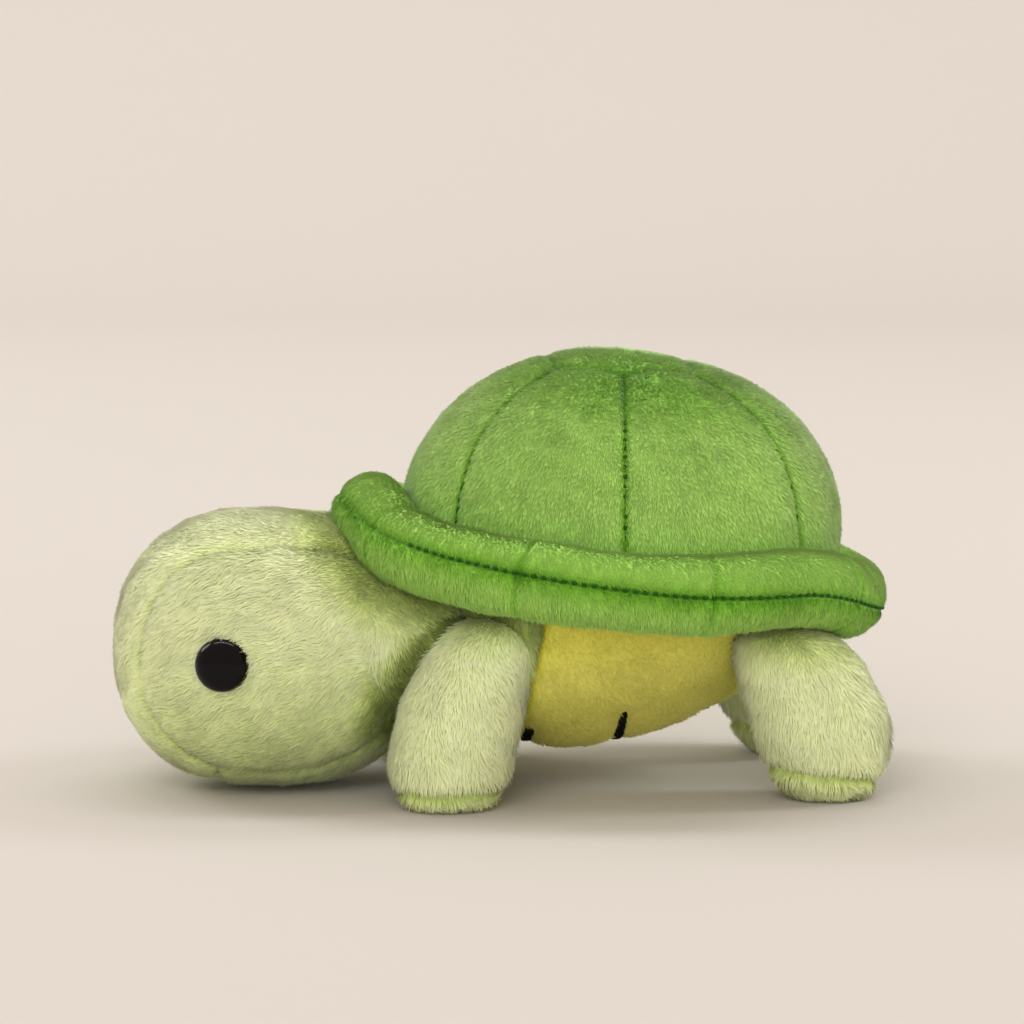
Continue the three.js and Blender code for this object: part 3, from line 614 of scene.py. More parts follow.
def pile_tint_group():
    """Colour of plush: dark roots, pale tips, locks that differ, broad patches and deeper colour in the shade."""
    found = bpy.data.node_groups.get("pile_tint")
    if found:
        return found
    group = bpy.data.node_groups.new("pile_tint", "ShaderNodeTree")
    for name, kind, value in (
        ("Root", "NodeSocketColor", (0.1, 0.2, 0.05, 1.0)),
        ("Tip", "NodeSocketColor", (0.5, 0.6, 0.3, 1.0)),
        ("Difference", "NodeSocketFloat", 0.3),
        ("Patches", "NodeSocketFloat", 0.15),
        ("Patch Scale", "NodeSocketFloat", 60.0),
    ):
        group.interface.new_socket(name=name, in_out="INPUT", socket_type=kind).default_value = value
    group.interface.new_socket(name="Color", in_out="OUTPUT", socket_type="NodeSocketColor")
    nodes, links = group.nodes, group.links
    given = nodes.new("NodeGroupInput")
    result = nodes.new("NodeGroupOutput")
    attribute = nodes.new("ShaderNodeAttribute")
    attribute.attribute_name = "pile"
    parts = nodes.new("ShaderNodeSeparateColor")
    links.new(attribute.outputs["Color"], parts.inputs["Color"])
    along = nodes.new("ShaderNodeMapRange")
    along.interpolation_type = "SMOOTHSTEP"
    along.inputs["From Min"].default_value = -0.15
    along.inputs["From Max"].default_value = 0.8
    links.new(parts.outputs["Red"], along.inputs["Value"])
    mix = nodes.new("ShaderNodeMix")
    mix.data_type = "RGBA"
    links.new(along.outputs["Result"], mix.inputs["Factor"])
    links.new(given.outputs["Root"], colour_socket(mix.inputs, "A"))
    links.new(given.outputs["Tip"], colour_socket(mix.inputs, "B"))
    place = nodes.new("ShaderNodeTexCoord")
    noise = nodes.new("ShaderNodeTexNoise")
    noise.inputs["Detail"].default_value = 3.0
    noise.inputs["Roughness"].default_value = 0.55
    links.new(place.outputs["Object"], noise.inputs["Vector"])
    links.new(given.outputs["Patch Scale"], noise.inputs["Scale"])
    patch = math_node(group, "SUBTRACT", noise.outputs["Fac"], 0.5)
    patch = math_node(group, "MULTIPLY", patch, given.outputs["Patches"])
    lock = math_node(group, "SUBTRACT", parts.outputs["Green"], 0.5)
    level = math_node(group, "MULTIPLY_ADD", lock, given.outputs["Difference"], patch)
    level = math_node(group, "MULTIPLY_ADD", parts.outputs["Blue"], -0.42, level)
    level = math_node(group, "ADD", level, 1.0)
    tinted = nodes.new("ShaderNodeVectorMath")
    tinted.operation = "SCALE"
    links.new(colour_socket(mix.outputs, "Result"), tinted.inputs["Vector"])
    links.new(level, tinted.inputs["Scale"])
    deepened = nodes.new("ShaderNodeGamma")
    links.new(tinted.outputs["Vector"], deepened.inputs["Color"])
    links.new(math_node(group, "MULTIPLY_ADD", parts.outputs["Blue"], 1.5, 1.0), deepened.inputs["Gamma"])
    links.new(deepened.outputs["Color"], result.inputs["Color"])
    return group


def colour4(name):
    return (*getattr(bpy.context.scene.turtle_colours, name), 1.0)


def shader_of(name, roughness, specular):
    """A new material, and its Principled shader."""
    material = bpy.data.materials.new(name)
    material.use_nodes = True
    shader = material.node_tree.nodes["Principled BSDF"]
    shader.inputs["Roughness"].default_value = roughness
    shader.inputs["Specular IOR Level"].default_value = specular
    return material, shader


def clouded(name, dark, light, scale, roughness, specular, detail=2.0, distortion=0.0, ends=(0.0, 1.0), relief=0.0):
    """A material that clouds between two colours, with some relief in metres where that is given."""
    found = bpy.data.materials.get(name)
    if found:
        return found
    material, shader = shader_of(name, roughness, specular)
    nodes, links = material.node_tree.nodes, material.node_tree.links
    place = nodes.new("ShaderNodeTexCoord")
    noise = nodes.new("ShaderNodeTexNoise")
    noise.inputs["Scale"].default_value = scale
    noise.inputs["Detail"].default_value = detail
    noise.inputs["Distortion"].default_value = distortion
    links.new(place.outputs["Object"], noise.inputs["Vector"])
    ramp = nodes.new("ShaderNodeValToRGB")
    for stop, colour, position in zip(ramp.color_ramp.elements, (dark, light), ends):
        stop.color = (*colour, 1.0)
        stop.position = position
    links.new(noise.outputs["Fac"], ramp.inputs["Fac"])
    links.new(ramp.outputs["Color"], shader.inputs["Base Color"])
    if relief:
        bump = nodes.new("ShaderNodeBump")
        bump.inputs["Distance"].default_value = relief
        bump.inputs["Strength"].default_value = 0.6
        links.new(noise.outputs["Fac"], bump.inputs["Height"])
        links.new(bump.outputs["Normal"], shader.inputs["Normal"])
    return material


def fibre_cloth(name, colour, scale, relief, spread=0.25):
    """Plain fibre, thread or knit, wavy in colour and relief."""
    base = Vector(colour4(colour)[:3])
    return clouded(name, base * (1.0 - spread), base * (1.0 + spread), scale, roughness=0.85, specular=0.2, detail=6.0,
                   distortion=1.2, ends=(0.3, 0.7), relief=relief)


def eye_gloss():
    return clouded("polished_eye", (0.001, 0.001, 0.0012), (0.002, 0.002, 0.0023), 900.0, roughness=0.05,
                   specular=0.17)


def moulded_washer():
    return clouded("moulded_washer", (0.72, 0.72, 0.68), (0.82, 0.82, 0.78), 400.0, roughness=0.45, specular=0.4)


def pale_paper():
    base = Vector(colour4("backdrop")[:3])
    return clouded("pale_paper", base * 0.985, base * 1.015, 2.0, roughness=0.9, specular=0.1)


# Each plush: the colours of its pile's roots and tips, how much its locks differ, how strong its patches are and the
# scale of their noise, its sheen and specular level, and how far its sheen is whitened.
PLUSHES = {
    "pale_plush": ("skin_root", "skin_tip", 0.3, 0.34, 100.0, 0.35, 0.35, 0.3),
    "sole_plush": ("sole_root", "sole_tip", 0.25, 0.3, 70.0, 0.25, 0.18, 0.2),
    "shell_plush": ("shell_root", "shell_tip", 0.5, 0.45, 40.0, 0.6, 0.18, 0.5),
    "rim_top_plush": ("shell_root", "rim_tip", 0.18, 0.45, 50.0, 0.25, 0.18, 0.2),
    "rim_plush": ("shell_root", "under_tip", 0.4, 0.5, 50.0, 0.25, 0.18, 0.2),
    "belly_plush": ("belly_root", "belly_tip", 0.25, 0.3, 50.0, 0.25, 0.18, 0.2),
}


def plush(name):
    found = bpy.data.materials.get(name)
    if found:
        return found
    root, tip, difference, patches, scale, sheen, specular, whitened = PLUSHES[name]
    material, shader = shader_of(name, 0.62, specular)
    shader.inputs["Sheen Weight"].default_value = sheen
    shader.inputs["Sheen Roughness"].default_value = 0.45
    shader.inputs["Sheen Tint"].default_value = [part + (1.0 - part) * whitened for part in colour4(tip)]
    tint = material.node_tree.nodes.new("ShaderNodeGroup")
    tint.node_tree = pile_tint_group()
    tint.inputs["Root"].default_value = colour4(root)
    tint.inputs["Tip"].default_value = colour4(tip)
    tint.inputs["Difference"].default_value = difference
    tint.inputs["Patches"].default_value = patches
    tint.inputs["Patch Scale"].default_value = scale
    material.node_tree.links.new(tint.outputs["Color"], shader.inputs["Base Color"])
    return material


# How the pile lies

def no_shade(points):
    return np.zeros(len(points))


def nothing_hidden(points):
    return np.zeros(len(points), bool)


def combed(x, y, z):
    """Pile combed one way all over."""
    return lambda roots, normals: np.repeat(np.array([[x, y, z]]), len(roots), 0)


# Density is in strands for each square millimetre and width is a share of the strands' usual width. Lean is in degrees
# from upright, and uneven says by how much it varies. Locks are of a size in millimetres, and pull is how far their
# tips meet. Swirl is the turn of the combing in degrees, in patches of swirl_size, and stray is that of single strands.
# Tone makes all the pile paler, and on the legs and the head's crown that paling is painted light. Bare is how pale the
# cloth is under it: 0 as its roots and 1 as its tips.
PILE = {"width": 1.0, "lock": 1.0, "uneven": 9.0, "tone": 0.0, "bare": 0.4, "raised": no_shade}
PILES = {
    "skin": {"density": 4.4, "lean": 73.0, "lock": 1.7, "pull": 0.2, "swirl": 24.0, "swirl_size": 12.0, "stray": 9.0,
             "uneven": 6.0},
    "shell": {"density": 5.6, "width": 0.8, "lean": 62.0, "lock": 1.15, "pull": 0.5, "swirl": 9.0, "swirl_size": 12.0,
              "stray": 7.0, "bare": 0.25},
    "rim": {"density": 4.9, "width": 0.85, "lean": 75.0, "pull": 0.15, "swirl": 12.0, "swirl_size": 10.0, "stray": 8.0,
            "uneven": 2.0, "tone": -0.2, "bare": 0.75},
    "under": {"density": 4.6, "width": 0.9, "lean": 77.0, "lock": 1.4, "pull": 0.4, "swirl": 10.0, "swirl_size": 12.0,
              "stray": 7.0, "uneven": 4.0},
    "belly": {"density": 3.3, "width": 0.85, "lean": 66.0, "pull": 0.3, "swirl": 20.0, "swirl_size": 14.0,
              "stray": 13.0},
    "line": {"density": 9.0, "width": 0.93, "lean": 50.0, "lock": 0.8, "pull": 0.1, "swirl": 24.0, "swirl_size": 16.0,
             "stray": 13.0},
}


def pile_of(cloth, seed, comb, shorter=1.0, **changes):
    """How the pile lies on one panel of a cloth."""
    settings = bpy.context.scene.turtle_pile
    spec = {**PILE, **PILES[cloth], "seed": seed, "comb": comb, **changes}
    spec["width"] *= settings.strand_width
    spec["length"] = getattr(settings, cloth + "_length") * shorter
    return spec


# Head

def head_seams(points):
    """Distance to the nearest seam of the head."""
    side = np.abs(np.abs(points[:, 0]) - CHEEK_SEAM - 0.5 * waves(points, 22.0, 31))
    chin = np.abs(points[:, 1] - CHIN_SEAM_Y - 0.4 * waves(points, 15.0, 32))
    under = (points[:, 2] < HEAD["centre"][2]) & (np.abs(points[:, 0]) < CHEEK_SEAM)
    return np.minimum(side, np.where(under, chin, 99.0))


def head_dressed(points, inset=0.0):
    """The head's bag with its seams drawn in, swollen at the neck and pressed by the table and the rim's roll."""
    centre = np.array(HEAD["centre"])
    out = unit_rows(points - centre)
    seams = head_seams(points)
    depth = groove(seams, 1.4, 0.7) + groove(seams, 4.5, 0.5) + 0.35 * waves(points, 34.0, 33)
    depth = depth - fillet(sleeve_gap(points, inset))
    points = points - out * depth[:, None]
    height, soft = HEAD["flat"]
    height += inset
    low = points[:, 2] < height + soft
    points[low, 2] = height + np.maximum(points[low, 2] - height + soft, 0.0) ** 2 / (4.0 * soft)
    local, middle = roll_middle(points)
    away = local - middle
    distance = np.linalg.norm(away, axis=1)
    wanted = ROLL_RADIUS + inset
    near = distance < wanted
    local[near] = middle[near] + away[near] / distance[near, None] * wanted
    points[near] = out_of_frame(local, RIM, RIM["centre"])[near]
    return points


def under_rim(points, reach):
    """How deep points lie in the shade of the rim's roll: 1 against it and 0 at some reach from it."""
    return 1.0 - smooth_step(roll_distance(points), 12.0, reach)


def head_shade(points):
    """How deep the head lies in shade: in its seams, under the rim, beside the legs and low down."""
    beside_leg = 1.0 - smooth_step(np.minimum(*(leg_share(points, FRONT_LEG, side) for side in (-1.0, 1.0))), 1.0, 2.6)
    low = 0.32 * (1.0 - smooth_step(points[:, 2], 3.0, 50.0))
    shade = groove(head_seams(points), 1.1, 0.3) + 0.75 * under_rim(points, 26.0) + 1.0 * beside_leg + low
    return np.clip(shade, 0.0, 1.0)


def round_eyes(points):
    """How many degrees the pile stands up behind and over an eye, which it half hides there."""
    away = points - np.array([0.0, EYE["y"], EYE["z"]])
    reach = np.hypot(away[:, 1], away[:, 2])
    over = smooth_step(away[:, 1] + 0.6 * away[:, 2], -2.0, 4.0) * (np.abs(points[:, 0]) > CHEEK_SEAM)
    return 46.0 * over * groove(reach - EYE["diameter"] / 2.0 - 0.8, 1.8, 1.0)


def head_comb(roots, normals):
    """Pile combed towards the face and down, more so on top and away from the middle."""
    x, _, z = (roots - np.array(HEAD["centre"])).T / HEAD["half"][0]
    return np.stack([0.15 * x, np.full(len(roots), -1.0), -0.55 - 0.3 * z], 1)


def hidden_on_head(points):
    return (sleeve_gap(points, 1.8) < -3.0) | (roll_distance(points) < 8.0)


class TURTLE_OT_head(bpy.types.Operator):
    """Head: two cheeks, crown and chin gussets over one bag of stuffing"""

    bl_idname = "turtle.head"
    bl_label = "Head"

    def execute(self, context):
        whole = ball(6)
        move_rows(whole, bag_points(rows_of(whole), HEAD, HEAD["inset"]))
        seam = CHEEK_SEAM
        middle = [((seam, 0, 0), (1, 0, 0)), ((-seam, 0, 0), (-1, 0, 0))]
        chin_front, chin_top = (0, CHIN_SEAM_Y, 0), HEAD["centre"]
        panels = {
            "cheek_left": [cut(whole, ((seam, 0, 0), (-1, 0, 0)))],
            "cheek_right": [cut(whole, ((-seam, 0, 0), (1, 0, 0)))],
            "chin_gusset": [cut(whole, *middle, (chin_front, (0, -1, 0)), (chin_top, (0, 0, 1)))],
            "crown_gusset": [
                cut(whole, *middle, (chin_front, (0, 1, 0))),
                cut(whole, *middle, (chin_front, (0, -1, 0)), (chin_top, (0, 0, -1))),
            ],
        }
        for number, (node, parts) in enumerate(panels.items()):
            panel = joined(parts) if len(parts) > 1 else parts[0]
            move_rows(panel, head_dressed(rows_of(panel)))
            drop_faces(panel, lambda points: neck_distance(points) < NECK["radius"] - 3.0)
            # Painted light: the crown gusset's pile is made paler, as if lit from above, and it is also shorter.
            shorter, tone = (0.7, 0.35) if node == "crown_gusset" else (1.0, 0.1)
            spec = pile_of("skin", 100 + number, head_comb, shorter, tone=tone, raised=round_eyes)
            piece = plush_object(node + "_plush", panel, spec, hidden_on_head, head_shade, plush("pale_plush"))
            belongs(piece, "head", "skin_cloth", node)
        filling, under = ball(5), 2.5
        move_rows(filling, head_dressed(bag_points(rows_of(filling), HEAD, HEAD["inset"] + under), under))
        stuffing_piece("head_filling", filling, "head", "head_stuffing")
        whole.free()
        return {"FINISHED"}


def joined(parts):
    """Several cut sheets in one mesh, welded where they meet."""
    whole = parts[0]
    carrier = bpy.data.meshes.new("joined")
    for part in parts[1:]:
        part.to_mesh(carrier)
        whole.from_mesh(carrier)
        part.free()
    bpy.data.meshes.remove(carrier)
    bmesh.ops.remove_doubles(whole, verts=whole.verts[:], dist=0.02)
    whole.normal_update()
    return whole


def stuffing_piece(name, mesh, body, node):
    """A bag of white fibre, padded."""
    filling = solid_object(name, mesh, fibre_cloth("white_fibre", "fibre", 260.0, 0.0006, 0.06))
    belongs(filling, body, "stuffing", node)


# Eyes

def head_side(y, z):
    """The head's half width at a place."""
    cy, cz = HEAD["centre"][1:]
    side, fore, _, height = HEAD["half"]
    power_fore, power_aft, across = HEAD["power"]
    along, up = (y - cy) / fore, (z - cz) / height
    power = power_fore + (power_aft - power_fore) * float(smooth_step(np.array([along]), -0.5, 0.5)[0])
    seen = (abs(along) ** power + abs(up) ** power) ** (1.0 / power)
    return side * (1.0 - seen**across) ** (1.0 / across)


def eye_frame(side):
    """Where an eye sits: +Z out of the cheek."""
    y, z, half = EYE["y"], EYE["z"], EYE["diameter"] / 2.0
    slope_y = (head_side(y + half, z) - head_side(y - half, z)) / EYE["diameter"]
    slope_z = (head_side(y, z + half) - head_side(y, z - half)) / EYE["diameter"]
    normal = Vector((1.0, -slope_y, -slope_z)).normalized()
    turn = normal.to_track_quat("Z", "Y").to_matrix().to_4x4()
    place = Matrix.Translation((head_side(y, z), y, z)) @ turn
    return Matrix.Diagonal((side, 1.0, 1.0, 1.0)) @ place


class TURTLE_OT_eyes(bpy.types.Operator):
    """Glossy domed eyes with their shanks, and the washers that lock them"""

    bl_idname = "turtle.eyes"
    bl_label = "Eyes"

    def execute(self, context):
        radius, (shank, reach) = EYE["diameter"] / 2.0, EYE["shank"]
        back, edge, chamfer = -EYE["sunk"], EYE["edge"], EYE["chamfer"]
        for name, side in (("left", 1.0), ("right", -1.0)):
            mesh = bmesh.new()
            outline = [(0.0, back - reach), (shank, back - reach), (shank, back), (radius - chamfer, back),
                       (radius, back + 0.3), (radius, back + edge)]
            for step in range(1, 21):
                angle = step / 20.0 * math.pi / 2.0
                out, up = math.cos(angle) ** EYE["dome"], math.sin(angle) ** EYE["dome"]
                outline.append((out * radius, back + edge + up * (EYE["height"] - edge)))
            spun(mesh, [(out if out > 1e-6 else 0.0, 0.0, up) for out, up in outline], 2.0 * math.pi, 64)
            bmesh.ops.remove_doubles(mesh, verts=mesh.verts[:], dist=1e-4)
            bmesh.ops.transform(mesh, matrix=eye_frame(side), verts=mesh.verts)
            belongs(solid_object("eye_%s_gloss" % name, mesh, eye_gloss()), "head", "eyes", "eye_" + name)
            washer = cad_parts["eye_washer_" + name]
            washer.data.materials.clear()
            washer.data.materials.append(moulded_washer())
        return {"FINISHED"}


# Neck

def hidden_on_neck(points):
    in_head = head_gap(points, HEAD["inset"]) < -2.0
    return (roll_distance(points) < 9.0) | (bag_share(points, BODY) < 0.97) | in_head


class TURTLE_OT_neck(bpy.types.Operator):
    """Neck: a short sleeve of plush over stuffing, between head and chest"""

    bl_idname = "turtle.neck"
    bl_label = "Neck"

    def execute(self, context):
        centre = np.array(NECK["centre"])

        def sleeve(unit, inset):
            """The sleeve of plush, swollen where it runs into the head."""
            way = unit_rows(unit)
            place = way * (np.array(NECK["sleeve"]) - inset) + centre
            return place + way * fillet(head_gap(place, inset))[:, None]

        panel = ball(5)
        move_rows(panel, sleeve(rows_of(panel), 1.8))
        spec = pile_of("skin", 140, combed(0.0, 0.55, -1.0))
        piece = plush_object("neck_panel_plush", panel, spec, hidden_on_neck, head_shade, plush("pale_plush"))
        belongs(piece, "neck", "skin_cloth", "neck_panel")
        filling = ball(4)
        move_rows(filling, sleeve(rows_of(filling), 4.5))
        stuffing_piece("neck_filling", filling, "neck", "neck_stuffing")
        return {"FINISHED"}


# Body

def lining_height(points):
    """Height over the shell's lining, square to it."""
    return into_frame(points, SHELL, SHELL["base"])[:, 2]


def body_dressed(points):
    """The body's bag with its chest seam and its sewn lines drawn in."""
    out = unit_rows(points - np.array(BODY["centre"]))
    depth = groove(chest_seam(points), 1.6, 1.0) + 0.6 * waves(points, 34.0, 41) + 0.12 * waves(points, 10.0, 42)
    line = np.minimum(*line_distances(points))
    under = points[:, 2] < BODY["under"]
    depth = depth + np.where(under, groove(line, 2.0, 0.7) + groove(line, 5.0, 0.8) - 0.5, 0.0)
    return points - out * depth[:, None]


def chest_seam(points):
    """How far behind the chest's leaning seam points lie."""
    place, height, lean = CHEST_SEAM
    lean = math.radians(lean)
    return (points[:, 1] - place) * math.cos(lean) - (points[:, 2] - height) * math.sin(lean)


def line_distances(points):
    """Distance to the belly's middle line and to its nearest cross line."""
    x, y = points[:, 0], points[:, 1]
    past = np.maximum(LINE_MIDDLE_Y[0] - y, 0.0) + np.maximum(y - LINE_MIDDLE_Y[1], 0.0)
    middle = np.hypot(x, past)
    cross = np.full(len(points), 99.0)
    for place, half in LINE_CROSSES:
        beyond = np.maximum(np.abs(x) - half, 0.0)
        cross = np.minimum(cross, np.hypot(y - place, beyond))
    return middle, cross


def body_shade(points):
    """How deep the body lies in shade: in its chest seam and under the rim, most of all on the chest."""
    seam = chest_seam(points)
    on_chest = smooth_step(-seam, -2.0, 2.0)
    return np.clip(groove(seam, 1.2, 0.5) + (0.2 + 0.7 * on_chest) * under_rim(points, 34.0), 0.0, 1.0)


def hidden_on_body(points):
    in_leg = np.zeros(len(points), bool)
    for leg in (FRONT_LEG, REAR_LEG):
        for side in (1.0, -1.0):
            in_leg |= leg_share(points, leg, side, 2.5) < 1.0
    return in_leg | (roll_distance(points) < 9.0) | (neck_distance(points) < NECK["radius"] - 1.0)


def hidden_on_belly(points):
    on_line = (np.minimum(*line_distances(points)) < LINE_WIDTH / 2.0) & (points[:, 2] < BODY["under"])
    return hidden_on_body(points) | on_line


class TURTLE_OT_body(bpy.types.Operator):
    """Body: belly and chest panels, the belly's sewn lines and the stuffing"""

    bl_idname = "turtle.body"
    bl_label = "Body"

    def execute(self, context):
        whole = ball(6)
        move_rows(whole, bag_points(rows_of(whole), BODY, BODY["inset"]))
        turn, origin = tilted(SHELL, SHELL["base"])
        up = turn[:, 2]
        under_lining, deeper = (origin - up * 2.4, up), (origin - up * 4.0, up)
        place, height, lean = CHEST_SEAM
        seam = (0, place, height)
        behind = Vector((0.0, math.cos(math.radians(lean)), -math.sin(math.radians(lean))))
        belly = cut(whole, under_lining, (seam, -behind))
        chest = cut(whole, under_lining, (seam, behind))
        for node, panel, spec, hidden, cloth, slot in (
            ("belly_panel", belly, pile_of("belly", 201, combed(0.0, 0.6, -0.9)), hidden_on_belly, "belly_plush",
             "belly_cloth"),
            ("chest_panel", chest, pile_of("skin", 202, combed(0.0, 0.3, -1.0)), hidden_on_body, "pale_plush",
             "skin_cloth"),
        ):
            move_rows(panel, body_dressed(rows_of(panel)))
            piece = plush_object(node + "_plush", panel, spec, hidden, body_shade, plush(cloth))
            belongs(piece, "trunk", slot, node)
        self.lines(whole)
        filling = ball(5)
        move_rows(filling, body_dressed(bag_points(rows_of(filling), BODY, BODY["inset"] + 3.0)))
        filling = cut(filling, deeper)
        bmesh.ops.holes_fill(filling, edges=[e for e in filling.edges if e.is_boundary], sides=0)
        stuffing_piece("body_filling", filling, "trunk", "body_stuffing")
        whole.free()
        return {"FINISHED"}

    def lines(self, whole):
        """Satin-stitched lines that stand a little proud of the belly's cloth."""
        half = LINE_WIDTH / 2.0
        low = ((0, 0, BODY["under"]), (0, 0, 1))
        front, rear = LINE_MIDDLE_Y
        parts = [cut(whole, low, ((half, 0, 0), (1, 0, 0)), ((-half, 0, 0), (-1, 0, 0)),
                     ((0, rear, 0), (0, 1, 0)), ((0, front, 0), (0, -1, 0)))]
        for place, reach in LINE_CROSSES:
            for side in (1.0, -1.0):
                strip = cut(whole, low, ((0, place + half, 0), (0, 1, 0)), ((0, place - half, 0), (0, -1, 0)),
                            ((side * reach, 0, 0), (side, 0, 0)), ((side * half, 0, 0), (-side, 0, 0)))
                parts.append(strip)
        ribbon = joined(parts)
        points = body_dressed(rows_of(ribbon))
        out = unit_rows(points - np.array(BODY["centre"]))
        distance = np.minimum(*line_distances(points))
        crown = np.sqrt(np.clip(1.0 - (distance / (half + 0.3)) ** 2, 0.0, 1.0))
        move_rows(ribbon, points + out * (0.1 + 0.8 * crown)[:, None])
        spec = pile_of("line", 230, combed(0.0, 0.6, -0.9))
        piece = plush_object("belly_lines_stitched", ribbon, spec, nothing_hidden, no_shade,
                             fibre_cloth("black_thread", "line", 900.0, 0.0002))
        belongs(piece, "trunk", "line_cloth", "belly_lines")


# Shell

def both_sides(angles):
    """Angles of the left side and their mirror images, rising, in degrees from the front."""
    return sorted(set(a % 360.0 for a in angles) | set(-a % 360.0 for a in angles))


def apart(angle, angles):
    """Degrees between each angle and the nearest of some others."""
    gap = np.abs((angle[:, None] - np.array(angles)[None] + 180.0) % 360.0 - 180.0)
    return gap.min(1)


def shell_sectors():
    """Each gore's two seams, in degrees from the front."""
    seams = both_sides(SHELL["seams"])
    return list(zip(seams, seams[1:] + [seams[0] + 360.0]))


def shell_seams(points):
    """Distance to the nearest seam between gores, which lie in upright planes, and to the top panel's edge."""
    x, y = points[:, 0], points[:, 1] - SHELL["base"][1]
    reach, angle = np.hypot(x, y), np.degrees(np.arctan2(x, -y))
    gore = reach * np.sin(np.radians(np.minimum(apart(angle, both_sides(SHELL["seams"])), 90.0)))
    edge = np.full(len(points), 99.0)
    for start, end in shell_sectors():
        middle, half = (start + end) / 2.0, (end - start) / 2.0
        off = np.abs((angle - middle + 180.0) % 360.0 - 180.0)
        flat = reach * np.cos(np.radians(off)) - SHELL["top_radius"] * math.cos(math.radians(half))
        edge = np.where(off <= half, flat, edge)
    return np.where(edge > -1.0, gore, 99.0), np.abs(edge)


def shell_dressed(local):
    """The dome sewn from gores: drawn in along its seams, and its top leaned towards the tail."""
    height = np.clip(local[:, 2] / SHELL["half"][2], 0.0, 1.0)
    leaned = local + np.array([[0.0, SHELL["crown_back"], 0.0]]) * height[:, None]
    gore, edge = shell_seams(out_of_frame(leaned, SHELL, SHELL["base"]))
    depth = groove(gore, 0.9, 1.1) * (1.0 - 0.5 * height) + groove(gore, 6.0, 0.5)
    depth = depth + groove(edge, 1.2, 0.5) + groove(edge, 4.0, 0.15)
    depth = depth + 0.45 * waves(local, 36.0, 51) + 0.12 * waves(local, 11.0, 52)
    out = unit_rows(local * np.array([1.0, 0.85, 1.0]) + np.array([0.0, 0.0, 1e-6]))
    shaped = local - out * depth[:, None]
    shaped[:, 1] += SHELL["crown_back"] * height
    return out_of_frame(shaped, SHELL, SHELL["base"])


def shell_before(points):
    """Final points of the shell back to where they lay before the top leaned."""
    local = into_frame(points, SHELL, SHELL["base"])
    local[:, 1] -= SHELL["crown_back"] * np.clip(local[:, 2] / SHELL["half"][2], 0.0, 1.0)
    return local


def shell_shade(points):
    """How deep the shell lies in shade: in its seams, and a little on its crown."""
    gore, edge = shell_seams(points)
    crown = 0.3 * smooth_step(shell_before(points)[:, 2], 28.0, 46.0)
    return np.clip(groove(gore, 0.9, 0.45) + groove(edge, 0.9, 0.3) + crown, 0.0, 1.0)


def shell_comb(roots, normals):
    """Pile combed down the dome, away from its top."""
    local = shell_before(roots)
    away = np.stack([local[:, 0], local[:, 1], np.zeros(len(local))], 1)
    away = unit_rows(away) * np.clip(np.hypot(local[:, 0], local[:, 1]) / 25.0, 0.0, 1.0)[:, None]
    return away * 0.6 + np.array([[0.0, 0.05, -1.0]])


def hidden_on_shell(points):
    return (roll_distance(points) < 8.5) | (lining_height(points) < -3.0)


def shell_ball(subdivisions, inset):
    """The dome before its seams, in its own frame."""
    mesh = ball(subdivisions)
    p = unit_rows(rows_of(mesh))
    power = SHELL["power"]
    out = np.hypot(p[:, 0], p[:, 1])
    p = p * ((out**power + np.abs(p[:, 2]) ** power) ** (-1.0 / power))[:, None]
    move_rows(mesh, p * np.array([size - inset for size in SHELL["half"]]))
    return mesh


